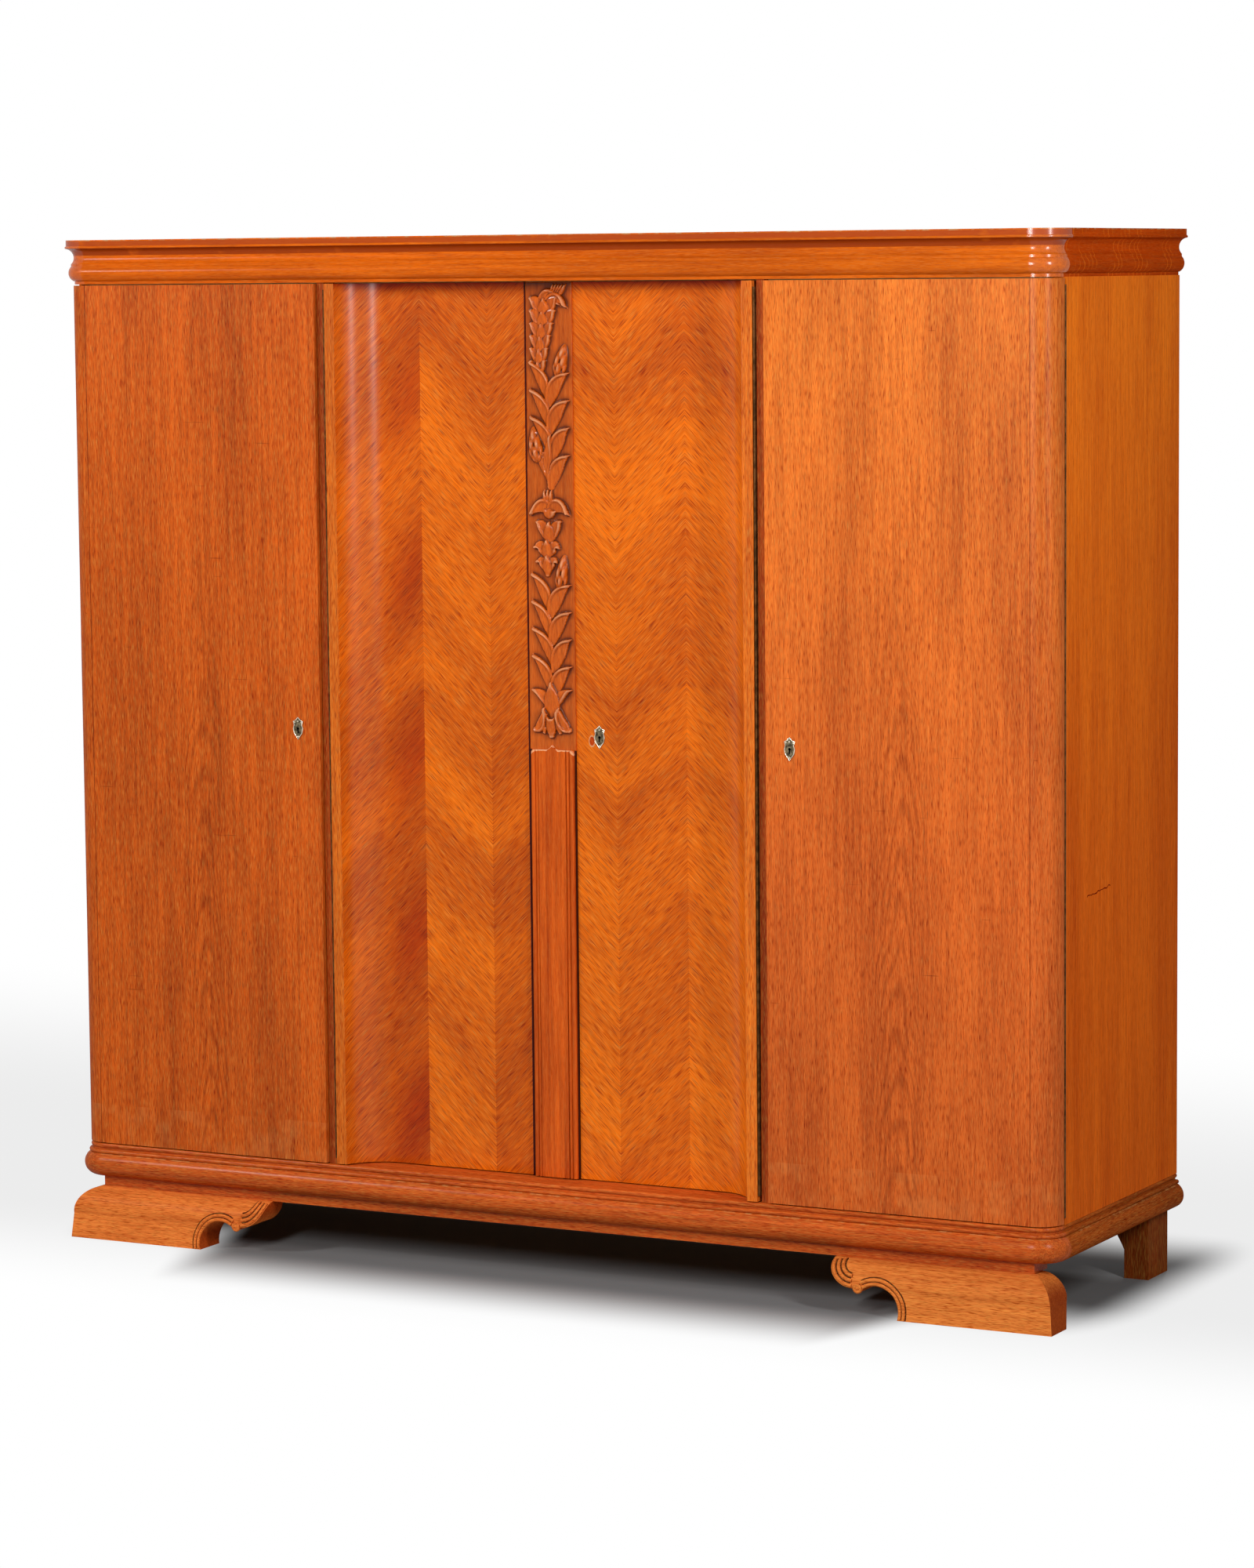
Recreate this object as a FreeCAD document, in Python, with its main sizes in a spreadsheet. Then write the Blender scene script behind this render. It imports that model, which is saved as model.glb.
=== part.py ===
# Four-door oak wardrobe with concave centre doors, moulded plinth and carved bracket feet.
# X runs along the front, Y from the front to the back, Z up; the origin is on the floor under the middle.
import FreeCAD, Part
import Sketcher
import os
import re
from FreeCAD import Vector

os.makedirs("parts", exist_ok=True)
doc = FreeCAD.newDocument("Wardrobe")

# Driving sizes in millimetres
SIZES = [
    ("carcass_width", 1878, "between the outer faces of the two sides"),
    ("carcass_depth", 542, "from the faces of the doors to the back"),
    ("corner_radius", 42, "rounded front corners of the outer doors, cornice and plinth"),
    ("side_thickness", 22, "sides of the carcass"),
    ("deck_thickness", 20, "floor and top of the carcass"),
    ("back_thickness", 6, "plywood back panels"),
    ("door_height", 1522, "all four doors"),
    ("door_gap", 2, "over and under the doors"),
    ("door_thickness", 22, "outer doors"),
    ("stop_gap", 1, "between a closed door and what it stops on"),
    ("edge_gap", 1.5, "beside the free edge of an outer door"),
    ("centre_opening", 823, "between the two dividers"),
    ("divider_thickness", 25, "uprights between the bays"),
    ("stile_width", 14.5, "solid strip in front of a divider, between two doors"),
    ("stile_setback", 8, "front of that strip behind the faces of the doors"),
    ("lipping_width", 19, "solid hanging edge of a centre door"),
    ("panel_thickness", 20, "bent panel of a centre door"),
    ("cove_depth", 58, "recess of the centre doors behind the outer doors"),
    ("cove_run", 76, "width over which a centre door sinks to that depth"),
    ("strip_width", 88, "carved meeting strip of the right centre door"),
    ("strip_rise", 3, "meeting strip in front of the panel"),
    ("meeting_gap", 2.5, "between the two centre doors"),
    ("meeting_bevel", 4, "bevel of the meeting edges, so that each door swings clear"),
    ("pilaster_width", 82, "raised lower half of the meeting strip"),
    ("pilaster_height", 734, "up to the shoulders of its crest"),
    ("pilaster_rise", 6, "flat of the pilaster in front of the strip"),
    ("outer_bead", 8, "bead along each edge of the pilaster"),
    ("inner_bead", 5, "second bead beside it"),
    ("bead_swell", 2.2, "roundness of those beads"),
    ("bead_quirk", 1, "grooves beside those beads"),
    ("crest_height", 8, "peak of the crest over its shoulders"),
    ("crest_width", 22, "that peak"),
    ("crest_drop", 6, "rounded outer corners of the crest under its shoulders"),
    ("crest_swell", 1.5, "roundness of the crest"),
    ("knuckle_radius", 2, "outside of a hinge knuckle"),
    ("knuckle_clearance", 0.3, "beside the knuckles, in the seam that holds a hinge"),
    ("knuckle_gap", 0.4, "between two knuckles"),
    ("end_knuckle", 375, "fixed knuckle at each end of a hinge; the one of the door lies between them"),
    ("pin_radius", 1, "hinge pins"),
    ("pin_clearance", 0.05, "between a pin and its knuckles"),
    ("leaf_thickness", 1.2, "hinge leaves"),
    ("leaf_width", 18, "hinge leaves, measured from the axis"),
    ("leaf_relief", 0.5, "leaf cut back beside the other leaf's knuckles"),
    ("hinge_inset", 3, "axis of a centre hinge behind the faces of the doors"),
    ("hinge_end", 10, "hinge short of each end of its door"),
    ("rail_depth", 100, "front rails of the cornice and plinth, measured from the door faces"),
    ("bullnose_height", 41, "half-round of the plinth"),
    ("bullnose_inset", 4, "foot of the half-round behind the door faces"),
    ("bullnose_reach", 2.5, "top of the half-round in front of the door faces"),
    ("bullnose_swell", 13.5, "roundness of the half-round"),
    ("quirk_depth", 2, "groove between the half-round and the small bead"),
    ("low_bead_height", 7.5, "small bead over the half-round"),
    ("low_bead_swell", 3.5, "roundness of the small bead"),
    ("waist_height", 2.5, "waist between the two beads of the plinth"),
    ("waist_inset", 2.5, "waist of the plinth behind the door faces"),
    ("top_bead_height", 8, "upper bead of the plinth"),
    ("top_bead_swell", 2.8, "roundness of the upper bead"),
    ("fillet_height", 5.5, "plain band at the bottom of the cornice"),
    ("fillet_inset", 2, "that band behind the door faces"),
    ("ogee_height", 25.7, "swelling of the cornice"),
    ("ogee_inset", 0.6, "foot of the swelling behind the door faces"),
    ("ogee_reach", 4, "top of the swelling in front of the door faces"),
    ("ogee_swell", 6.9, "roundness of the swelling"),
    ("band_height", 4.2, "flat between the swelling and the hollow"),
    ("hollow_height", 26.5, "hollow of the cornice"),
    ("hollow_reach", 12, "top of the hollow in front of the door faces"),
    ("hollow_swell", 8.6, "depth of the hollow"),
    ("lip_height", 4.5, "lip under the cornice slab"),
    ("lip_reach", 14.6, "lip in front of the door faces"),
    ("lip_bevel", 1.4, "bevel of the edges of that lip"),
    ("slab_height", 10.6, "edge of the cornice slab"),
    ("slab_reach", 12.5, "edge of the slab in front of the door faces"),
    ("top_board_thickness", 10, "dust board of the cornice"),
    ("top_board_drop", 2, "dust board below the edge of the slab"),
    ("back_rail_thickness", 30, "rear rails of the plinth and cornice"),
    ("apron_height", 19, "beam between the plinth and the feet"),
    ("apron_setback", 11, "front of that beam behind the door faces"),
    ("apron_depth", 54, "that beam, front to back"),
    ("apron_end", 39, "ends of that beam inside the faces of the sides"),
    ("foot_height", 90, "front feet"),
    ("foot_reach", 29, "front feet at the floor in front of the door faces"),
    ("foot_length", 273, "front feet along the floor"),
    ("foot_spread", 8, "front feet at the floor outside the faces of the sides"),
    ("foot_depth", 62, "front feet at the floor, front to back"),
    ("heel_slope", 13, "lean of the back of a front foot"),
    ("heel_height", 55, "top of that lean"),
    ("shoulder_drop", 47, "rounded shoulder of a front foot, down from its top"),
    ("shoulder_swell", 13, "roundness of that shoulder"),
    ("shoulder_lean", 4, "lean of the face of a foot under its shoulder"),
    ("arch_width", 63, "arch at the inner end of a front foot"),
    ("arch_height", 46, "spring of the arch on its knob"),
    ("arch_swell", 27.4, "roundness of the arch"),
    ("knob_width", 19, "knob between the arch and the scroll"),
    ("knob_swell", 6.5, "hang of that knob"),
    ("scroll_width", 45, "scroll between the knob and its tip under the beam"),
    ("scroll_swell", 12.7, "roundness of the scroll"),
    ("rear_foot_width", 44, "rear feet along the back"),
    ("rear_foot_depth", 88, "rear feet, front to back"),
    ("rear_foot_inset", 12, "rear feet inside the faces of the sides and the back"),
    ("bracket_width", 40, "hollow bracket at the top of a rear foot"),
    ("bracket_height", 60, "that bracket"),
    ("bracket_swell", 3, "hollow of that bracket"),
    ("lock_height", 758, "keyholes over the bottom of the doors"),
    ("lock_backset", 44, "keyholes from the edge of the door or of the strip"),
    ("keyhole_radius", 2.4, "round part of a keyhole"),
    ("keyhole_slot", 2.6, "slot of a keyhole"),
    ("keyhole_drop", 8, "foot of the slot under the middle of the round part"),
    ("plate_width", 19, "key plates"),
    ("plate_height", 39, "key plates"),
    ("plate_thickness", 1.6, "key plates"),
    ("plate_hollow", 0.8, "hollow sides of the points of a key plate"),
    ("case_width", 64, "lock cases"),
    ("case_height", 70, "lock cases"),
    ("case_depth", 15, "lock cases"),
    ("case_wall", 4, "closed end of the slot for the bolt"),
    ("bolt_height", 14, "lock bolts"),
    ("bolt_depth", 7, "lock bolts, front to back"),
    ("bolt_throw", 10, "travel of the outer lock bolts"),
    ("centre_bolt_throw", 20, "travel of the centre lock bolt"),
    ("centre_bolt_tip", 6, "tip of the centre bolt short of the edge of the strip"),
    ("bolt_clearance", 0.4, "round a bolt in its case, guide or mortise"),
    ("slide_bolt_side", 7, "section of the slide bolts of the left centre door"),
    ("slide_bolt_length", 90, "slide bolts"),
    ("slide_bolt_throw", 12, "travel of the slide bolts"),
    ("slide_bolt_rest", 2, "tip of a slide bolt from the floor or top when drawn back"),
    ("slide_bolt_edge", 25, "slide bolts from the meeting edge"),
    ("guide_width", 24, "guides of the slide bolts"),
    ("guide_height", 56, "guides of the slide bolts"),
    ("guide_wall", 4, "walls of those guides in front of and behind the bolt"),
    ("shelf_thickness", 18, "shelves"),
    ("shelf_front", 20, "front edges of the shelves behind the stops of the doors"),
    ("batten_width", 16, "shelf battens, out from the upright"),
    ("batten_height", 22, "shelf battens"),
    ("hat_space", 236, "over the hat shelves"),
    ("rail_radius", 12.5, "hanging rails"),
    ("rail_drop", 50, "middle of a hanging rail under the hat shelf"),
    ("rail_clearance", 0.2, "round a rail in its cleats"),
    ("cleat_thickness", 14, "notched cleats that carry the hanging rails"),
    ("cleat_width", 48, "those cleats, front to back"),
    ("cleat_rise", 14, "top of a cleat over the middle of its rail"),
    ("cleat_drop", 34, "foot of a cleat under the middle of its rail"),
]

sheet = doc.addObject("Spreadsheet::Sheet", "sizes")
for row, (alias, size, note) in enumerate(SIZES, start=1):
    sheet.set(f"A{row}", note)
    sheet.set(f"B{row}", str(size))
    sheet.setAlias(f"B{row}", alias)
doc.recompute()

# Places that follow from the driving sizes
PLACES = {
    "half_width": "carcass_width / 2",
    "face_y": "(foot_reach - carcass_depth) / 2",
    "back_y": "face_y + carcass_depth",
    "inner_back_y": "back_y - back_thickness",
    "corner_x": "half_width - corner_radius",
    "corner_y": "face_y + corner_radius",
    "hinge_gap": "2 * (knuckle_radius + knuckle_clearance)",
    "side_front_y": "corner_y + hinge_gap",
    "inner_side_x": "half_width - side_thickness",
    "plinth_bottom": "foot_height + apron_height",
    "bullnose_top": "plinth_bottom + bullnose_height",
    "waist_bottom": "bullnose_top + low_bead_height",
    "waist_top": "waist_bottom + waist_height",
    "plinth_top": "waist_top + top_bead_height",
    "door_bottom": "plinth_top + door_gap",
    "door_top": "door_bottom + door_height",
    "cornice_bottom": "door_top + door_gap",
    "ogee_bottom": "cornice_bottom + fillet_height",
    "ogee_top": "ogee_bottom + ogee_height",
    "hollow_bottom": "ogee_top + band_height",
    "lip_bottom": "hollow_bottom + hollow_height",
    "slab_bottom": "lip_bottom + lip_height",
    "slab_top": "slab_bottom + slab_height",
    "top_board_top": "slab_top - top_board_drop",
    "top_board_bottom": "top_board_top - top_board_thickness",
    "deck_low": "plinth_top + deck_thickness",
    "deck_high": "cornice_bottom - deck_thickness",
    "door_back_y": "face_y + door_thickness",
    "door_inside_x": "half_width - door_thickness",
    "stop_y": "door_back_y + stop_gap",
    "divider_x": "centre_opening / 2",
    "divider_far_x": "divider_x + divider_thickness",
    "stile_far_x": "divider_x + stile_width",
    "outer_edge_x": "stile_far_x + edge_gap",
    "hang_x": "divider_x - hinge_gap",
    "arris_x": "hang_x - lipping_width",
    "flat_x": "arris_x - cove_run",
    "cove_radius": "(cove_run^2 + cove_depth^2) / (2 * cove_depth)",
    "back_radius": "cove_radius + panel_thickness",
    "stop_radius": "back_radius + stop_gap",
    "panel_y": "face_y + cove_depth",
    "cove_centre_y": "panel_y - cove_radius",
    "panel_back_y": "panel_y + panel_thickness",
    "lipping_back_y": "cove_centre_y + sqrt(back_radius^2 - cove_run^2)",
    "stile_back_y": "lipping_back_y + stop_gap",
    "stop_arc_x": "flat_x + sqrt(stop_radius^2 - (stile_back_y - cove_centre_y)^2)",
    "centre_stop_y": "panel_back_y + stop_gap",
    "strip_x": "strip_width / 2",
    "strip_y": "panel_y - strip_rise",
    "meeting_x": "strip_x + meeting_gap",
    "centre_axis_x": "divider_x - hinge_gap / 2",
    "centre_axis_y": "face_y + hinge_inset",
    "outer_axis_y": "corner_y + hinge_gap / 2",
    "hinge_bottom": "door_bottom + hinge_end",
    "hinge_length": "door_height - 2 * hinge_end",
    "leaf_start": "knuckle_radius + leaf_relief",
    "bore_radius": "pin_radius + pin_clearance",
    "lock_z": "door_bottom + lock_height",
    "outer_key_x": "outer_edge_x + lock_backset",
    "centre_key_x": "strip_x + lock_backset",
    "outer_bolt_y": "door_back_y + (case_depth - bolt_depth) / 2",
    "centre_bolt_y": "panel_back_y + stop_gap",
    "centre_case_x": "centre_key_x - case_width / 2",
    "slide_bolt_x": "meeting_x + meeting_bevel + slide_bolt_edge",
    "slide_bolt_y": "panel_back_y + guide_wall",
    "hat_shelf_z": "deck_high - hat_space - shelf_thickness",
    "outer_shelf_y": "stile_back_y + shelf_front",
    "centre_shelf_y": "centre_stop_y + shelf_front",
    "rail_z": "hat_shelf_z - rail_drop",
    "foot_outer_x": "half_width + foot_spread",
    "foot_inner_x": "foot_outer_x - foot_length",
    "foot_front_y": "face_y - foot_reach",
    "foot_back_y": "foot_front_y + foot_depth",
    "foot_top_back_y": "foot_back_y + heel_slope",
    "shoulder_z": "foot_height - shoulder_drop",
    "apron_x": "half_width - apron_end",
    "apron_y": "face_y + apron_setback",
    "knob_outer_x": "foot_inner_x - arch_width",
    "knob_inner_x": "knob_outer_x - knob_width",
    "scroll_x": "knob_inner_x - scroll_width",
    "rear_foot_x": "half_width - rear_foot_inset",
    "rear_foot_inner_x": "rear_foot_x - rear_foot_width",
    "rear_foot_y": "back_y - rear_foot_inset",
}
SIZE_NAMES = {alias for alias, size, note in SIZES}
SIDES = (("left", -1), ("right", 1))
pieces = {}


def ex(words):
    """Turn the plain names of sizes and places into an expression on the sheet."""
    def spell(match):
        word = match.group(0)
        if word in PLACES:
            return "(" + ex(PLACES[word]) + ")"
        return "sizes." + word if word in SIZE_NAMES else word
    return re.sub(r"[a-z_]+", spell, words)


def number(words):
    """The present value of such an expression."""
    return float(sheet.evalExpression(ex(words)))


def keep(label, piece):
    """Enter a finished sub-part under the name of its file."""
    piece.Label = label
    pieces[label] = piece


def span(side, inner, outer):
    """Low and high X between two distances from the middle, on one side."""
    return (inner, outer) if side > 0 else (f"-({outer})", f"-({inner})")


def middle(half):
    """Low and high places that lie evenly about the middle."""
    return (f"-({half})", half)


def from_(low, length):
    return (low, f"{low} + {length}")


def with_room(places, room):
    """Low and high places with room on both sides."""
    return (f"{places[0]} - {room}", f"{places[1]} + {room}")


# Boards, rods and booleans
def board(name, x, y, z):
    """A square-edged board between the low and high places on each axis."""
    box = doc.addObject("Part::Box", name)
    for length, axis, (low, high) in zip(("Length", "Width", "Height"), "xyz", (x, y, z)):
        box.setExpression(length, ex(f"({high}) - ({low})"))
        box.setExpression(f"Placement.Base.{axis}", ex(low))
    return box


def rod(name, radius, base, length, along_x=False):
    """A round rod from a base point, upright or along X."""
    cylinder = doc.addObject("Part::Cylinder", name)
    cylinder.setExpression("Radius", ex(radius))
    cylinder.setExpression("Height", ex(length))
    if along_x:
        cylinder.Placement.Rotation = FreeCAD.Rotation(Vector(0, 1, 0), 90)
    for axis, place in zip("xyz", base):
        cylinder.setExpression(f"Placement.Base.{axis}", ex(place))
    return cylinder


def boolean(kind, name, base, tool):
    result = doc.addObject(kind, name)
    result.Base = base
    result.Tool = tool
    return result


def fused(name, members):
    result = doc.addObject("Part::MultiFuse", name)
    result.Shapes = members
    return result


def group(name, members):
    """Several separate solids in one sub-part."""
    result = doc.addObject("Part::Compound", name)
    result.Links = members
    return result


# Sketched outlines
# A corner is (u, v), or (u, v, "radius" or "swell", amount, bulge) where an arc runs from it to the next
# corner. The arc bulges to the left of its run where bulge is 1, and to the right where it is -1.
def mirrored(corners, side):
    """An outline drawn for the right side, on the given side."""
    turned = []
    for u, v, *arc in corners:
        if arc:
            arc[2] *= side
        turned.append((f"{side} * ({u})", v, *arc))
    return turned


def both_sides(right):
    """A closed outline from its right half; a corner at u = 0 lies on the middle line."""
    left = []
    for index in range(len(right) - 1, -1, -1):
        u, v = right[index][:2]
        arc = right[index - 1][2:] if index else ()
        if u != "0":
            left.append((f"-({u})", v, *arc))
    return right + left


def arc_radius(start, end):
    """The radius of the arc between two corners, which give it or its swell."""
    kind, amount = start[2:4]
    if kind == "radius":
        return amount
    chord_squared = f"(({end[0]}) - ({start[0]}))^2 + (({end[1]}) - ({start[1]}))^2"
    return f"({chord_squared}) / (8 * ({amount})) + ({amount}) / 2"


def arc_between(start, end, radius, bulge):
    """The short arc between two points."""
    chord = end - start
    left = Vector(-chord.y, chord.x, 0).normalize()
    swell = radius - max(radius ** 2 - chord.Length ** 2 / 4, 0) ** 0.5
    return Part.Arc(start, (start + end) / 2 + left * swell * bulge, end)


def tie(sketch, constraint, words):
    """Add a dimension to a sketch and bind it to the sheet."""
    index = sketch.addConstraint(constraint)
    sketch.setExpression(f"Constraints[{index}]", ex(words))


def outline(body, name, plane, corners, offset, hole=None):
    """A closed sketch on one of the body's own planes, with every corner tied to the sheet."""
    sketch = body.newObject("Sketcher::SketchObject", name)
    support = next(feature for feature in body.Origin.OriginFeatures if feature.Role == plane)
    sketch.AttachmentSupport = [(support, "")]
    sketch.MapMode = "FlatFace"
    for axis, place in zip("xyz", offset):
        sketch.setExpression(f"AttachmentOffset.Base.{axis}", ex(place))
    points = [Vector(number(corner[0]), number(corner[1]), 0) for corner in corners]
    following = corners[1:] + corners[:1]
    ends = []
    for index, (corner, after) in enumerate(zip(corners, following)):
        start = points[index]
        end = points[(index + 1) % len(points)]
        if len(corner) == 2:
            sketch.addGeometry(Part.LineSegment(start, end))
        else:
            sketch.addGeometry(arc_between(start, end, number(arc_radius(corner, after)), corner[4]))
        forward = (sketch.getPoint(index, 1) - start).Length < (sketch.getPoint(index, 2) - start).Length
        ends.append((1, 2) if forward else (2, 1))
    for index, (corner, after) in enumerate(zip(corners, following)):
        first, last = ends[index]
        next_index = (index + 1) % len(corners)
        next_first = ends[next_index][0]
        sketch.addConstraint(Sketcher.Constraint("Coincident", index, last, next_index, next_first))
        for direction, words in (("DistanceX", corner[0]), ("DistanceY", corner[1])):
            tie(sketch, Sketcher.Constraint(direction, -1, 1, index, first, number(words)), words)
        if len(corner) > 2:
            radius = arc_radius(corner, after)
            tie(sketch, Sketcher.Constraint("Radius", index, number(radius)), radius)
    if hole:
        circle = sketch.addGeometry(Part.Circle(Vector(0, 0, 0), Vector(0, 0, 1), number(hole)))
        sketch.addConstraint(Sketcher.Constraint("Coincident", circle, 3, -1, 1))
        tie(sketch, Sketcher.Constraint("Radius", circle, number(hole)), hole)
    return sketch


def pad(body, sketch, length):
    feature = body.newObject("PartDesign::Pad", sketch.Name + "_pad")
    feature.Profile = sketch
    feature.setExpression("Length", ex(length))
    return feature


def extrude(name, plane, corners, low, high):
    """A body padded from an outline, between two places across its plane."""
    body = doc.addObject("PartDesign::Body", name)
    start = f"-({high})" if plane == "XZ_Plane" else low
    sketch = outline(body, name + "_outline", plane, corners, ("0", "0", start))
    pad(body, sketch, f"({high}) - ({low})")
    return body


# Carcass
door_z = ("door_bottom", "door_top")
full_z = ("plinth_top", "cornice_bottom")
bay_z = ("deck_low", "deck_high")
left_bay = ("-(inner_side_x)", "-(divider_far_x)")
centre_bay = middle("divider_x")
right_bay = ("divider_far_x", "inner_side_x")


def side_panel(name, side):
    return board(name, span(side, "inner_side_x", "half_width"), ("side_front_y", "back_y"), full_z)


def deck(name, low, high):
    """Floor or top of the carcass; its front edge is the stop of the doors and follows their backs."""
    right = [
        ("flat_x", "centre_stop_y", "radius", "stop_radius", 1),
        ("stop_arc_x", "stile_back_y"),
        ("stile_far_x", "stile_back_y"),
        ("stile_far_x", "stop_y"),
        ("corner_x", "stop_y", "radius", "corner_radius - door_thickness - stop_gap", -1),
        ("door_inside_x - stop_gap", "corner_y"),
        ("door_inside_x - stop_gap", "side_front_y"),
        ("inner_side_x", "side_front_y"),
        ("inner_side_x", "inner_back_y"),
    ]
    body = extrude(name + "_board", "XY_Plane", both_sides(right), low, high)
    depth = ("deck_low - slide_bolt_throw", "deck_low")
    if name == "carcass_top":
        depth = ("deck_high", "deck_high + slide_bolt_throw")
    hole_x, hole_y = slide_bolt_section("bolt_clearance")
    return boolean("Part::Cut", name, body, board(name + "_hole", hole_x, hole_y, depth))


def divider(name, side):
    return board(name, span(side, "divider_x", "divider_far_x"), ("stile_back_y", "inner_back_y"), bay_z)


def stile(name, side):
    """Strip that shows between two doors; its outer face has the mortise of the lock bolt."""
    depth = ("face_y + stile_setback", "stile_back_y")
    strip = board(name + "_strip", span(side, "divider_x", "stile_far_x"), depth, full_z)
    mortise_y = with_room(from_("outer_bolt_y", "bolt_depth"), "bolt_clearance")
    mortise = board(name + "_mortise", span(side, "stile_far_x - bolt_throw", "stile_far_x"), mortise_y,
                    bolt_z("bolt_clearance"))
    return boolean("Part::Cut", name, strip, mortise)


def back_panels():
    """Three plywood panels that meet behind the dividers."""
    joint = "divider_x + divider_thickness / 2"
    edges = ["-(inner_side_x)", f"-({joint})", joint, "inner_side_x"]
    panels = []
    for index in range(3):
        across = (edges[index], edges[index + 1])
        panels.append(board(f"back_panel_{index}", across, ("inner_back_y", "back_y"), full_z))
    return group("back_panels", panels)


# Mouldings, from bottom to top: offset from the door faces, height, arc
PLINTH = [
    ("-bullnose_inset", "plinth_bottom", "swell", "bullnose_swell", -1),
    ("bullnose_reach", "bullnose_top"),
    ("bullnose_reach - quirk_depth", "bullnose_top", "swell", "low_bead_swell", -1),
    ("bullnose_reach - quirk_depth", "waist_bottom"),
    ("-waist_inset", "waist_bottom"),
    ("-waist_inset", "waist_top", "swell", "top_bead_swell", -1),
    ("-waist_inset", "plinth_top"),
]
CORNICE = [
    ("-fillet_inset", "cornice_bottom"),
    ("-fillet_inset", "ogee_bottom"),
    ("-ogee_inset", "ogee_bottom", "swell", "ogee_swell", -1),
    ("ogee_reach", "ogee_top"),
    ("ogee_reach", "hollow_bottom", "swell", "hollow_swell", 1),
    ("hollow_reach", "lip_bottom"),
    ("lip_reach - lip_bevel", "lip_bottom"),
    ("lip_reach", "lip_bottom + lip_bevel"),
    ("lip_reach", "slab_bottom - lip_bevel"),
    ("lip_reach - lip_bevel", "slab_bottom"),
    ("slab_reach", "slab_bottom"),
    ("slab_reach", "slab_top"),
]


def section(profile, start, side, inner):
    """Closed section of a moulding that stands out from a plane, back to an inner plane."""
    corners = []
    for offset, height, *arc in profile:
        if arc:
            arc[2] *= side
        corners.append((f"{start} + {side} * ({offset})", height, *arc))
    corners.append((inner, profile[-1][1]))
    corners.append((inner, profile[0][1]))
    return corners


def moulded_side(name, profile, side):
    corners = section(profile, f"{side} * half_width", side, f"{side} * corner_x")
    return extrude(name, "XZ_Plane", corners, "corner_y", "back_y")


def moulded_corner(name, profile, side):
    """Quarter-round corner block, turned about the upright centre line of the corner."""
    body = doc.addObject("PartDesign::Body", name)
    corners = section(profile, f"{side} * corner_radius", side, "0")
    sketch = outline(body, name + "_section", "XZ_Plane", corners, (f"{side} * corner_x", "0", "-(corner_y)"))
    turn = body.newObject("PartDesign::Revolution", name + "_turn")
    turn.Profile = sketch
    turn.ReferenceAxis = (sketch, ["V_Axis"])
    turn.Angle = 90
    turn.Reversed = side > 0
    return body


def moulded_front(name, profile):
    """Front rail of a moulding, glued up with the corner block at each end."""
    corners = section(profile, "face_y", -1, "face_y + rail_depth")
    rail = extrude(name + "_rail", "YZ_Plane", corners, *middle("corner_x"))
    blocks = [moulded_corner(f"{name}_{word}", profile, side) for word, side in SIDES]
    return fused(name, [rail, *blocks])


def top_board():
    depth = ("face_y + rail_depth", "back_y")
    return board("cornice_board", middle("corner_x"), depth, ("top_board_bottom", "top_board_top"))


def back_rails():
    """Plain rear rails that close the frames of the plinth and the cornice."""
    depth = ("back_y - back_rail_thickness", "back_y")
    heights = (("plinth_bottom", "plinth_top"), ("cornice_bottom", "top_board_bottom"))
    rails = [board(f"back_rail_{index}", middle("corner_x"), depth, z) for index, z in enumerate(heights)]
    return group("back_rails", rails)


# Base
def apron():
    depth = from_("apron_y", "apron_depth")
    return board("apron", middle("apron_x"), depth, ("foot_height", "plinth_bottom"))


def front_foot(name, side):
    """Bracket foot: its front outline with scroll, knob and arch, met by the outline of its end."""
    front = [
        ("foot_inner_x", "0"),
        ("foot_outer_x", "0"),
        ("foot_outer_x - shoulder_lean", "shoulder_z", "swell", "shoulder_swell", -1),
        ("apron_x", "foot_height"),
        ("scroll_x", "foot_height", "swell", "scroll_swell", -1),
        ("knob_inner_x", "arch_height", "swell", "knob_swell", -1),
        ("knob_outer_x", "arch_height", "swell", "arch_swell", 1),
    ]
    end = [
        ("foot_back_y", "0"),
        ("foot_front_y", "0"),
        ("foot_front_y + shoulder_lean", "shoulder_z", "swell", "shoulder_swell", 1),
        ("apron_y", "foot_height"),
        ("foot_top_back_y", "foot_height"),
        ("foot_top_back_y", "heel_height"),
    ]
    along = extrude(name + "_front", "XZ_Plane", mirrored(front, side), "foot_front_y", "foot_top_back_y")
    across = extrude(name + "_end", "YZ_Plane", end, *span(side, "scroll_x", "foot_outer_x"))
    return boolean("Part::Common", name, along, across)


def rear_foot(name, side):
    """Square post with a small hollow bracket towards the middle."""
    corners = [
        ("rear_foot_inner_x", "0"),
        ("rear_foot_x", "0"),
        ("rear_foot_x", "plinth_bottom"),
        ("rear_foot_inner_x - bracket_width", "plinth_bottom", "swell", "bracket_swell", 1),
        ("rear_foot_inner_x", "plinth_bottom - bracket_height"),
    ]
    return extrude(name, "XZ_Plane", mirrored(corners, side), "rear_foot_y - rear_foot_depth", "rear_foot_y")


# Doors
def keyhole(body, name, x):
    """Cut a keyhole, a round hole over a slot, right through a body."""
    slot = "keyhole_slot / 2"
    meets = "lock_z - sqrt(keyhole_radius^2 - keyhole_slot^2 / 4)"
    arc = ("radius", "keyhole_radius", -1)
    right = [
        (slot, "lock_z - keyhole_drop"),
        (slot, meets, *arc),
        ("keyhole_radius", "lock_z", *arc),
        ("0", "lock_z + keyhole_radius", *arc),
    ]
    sketch = outline(body, name + "_keyhole", "XZ_Plane", both_sides(right), (x, "0", "0"))
    cut = body.newObject("PartDesign::Pocket", name + "_pocket")
    cut.Profile = sketch
    cut.Type = "ThroughAll"
    cut.Midplane = True
    return body


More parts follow.
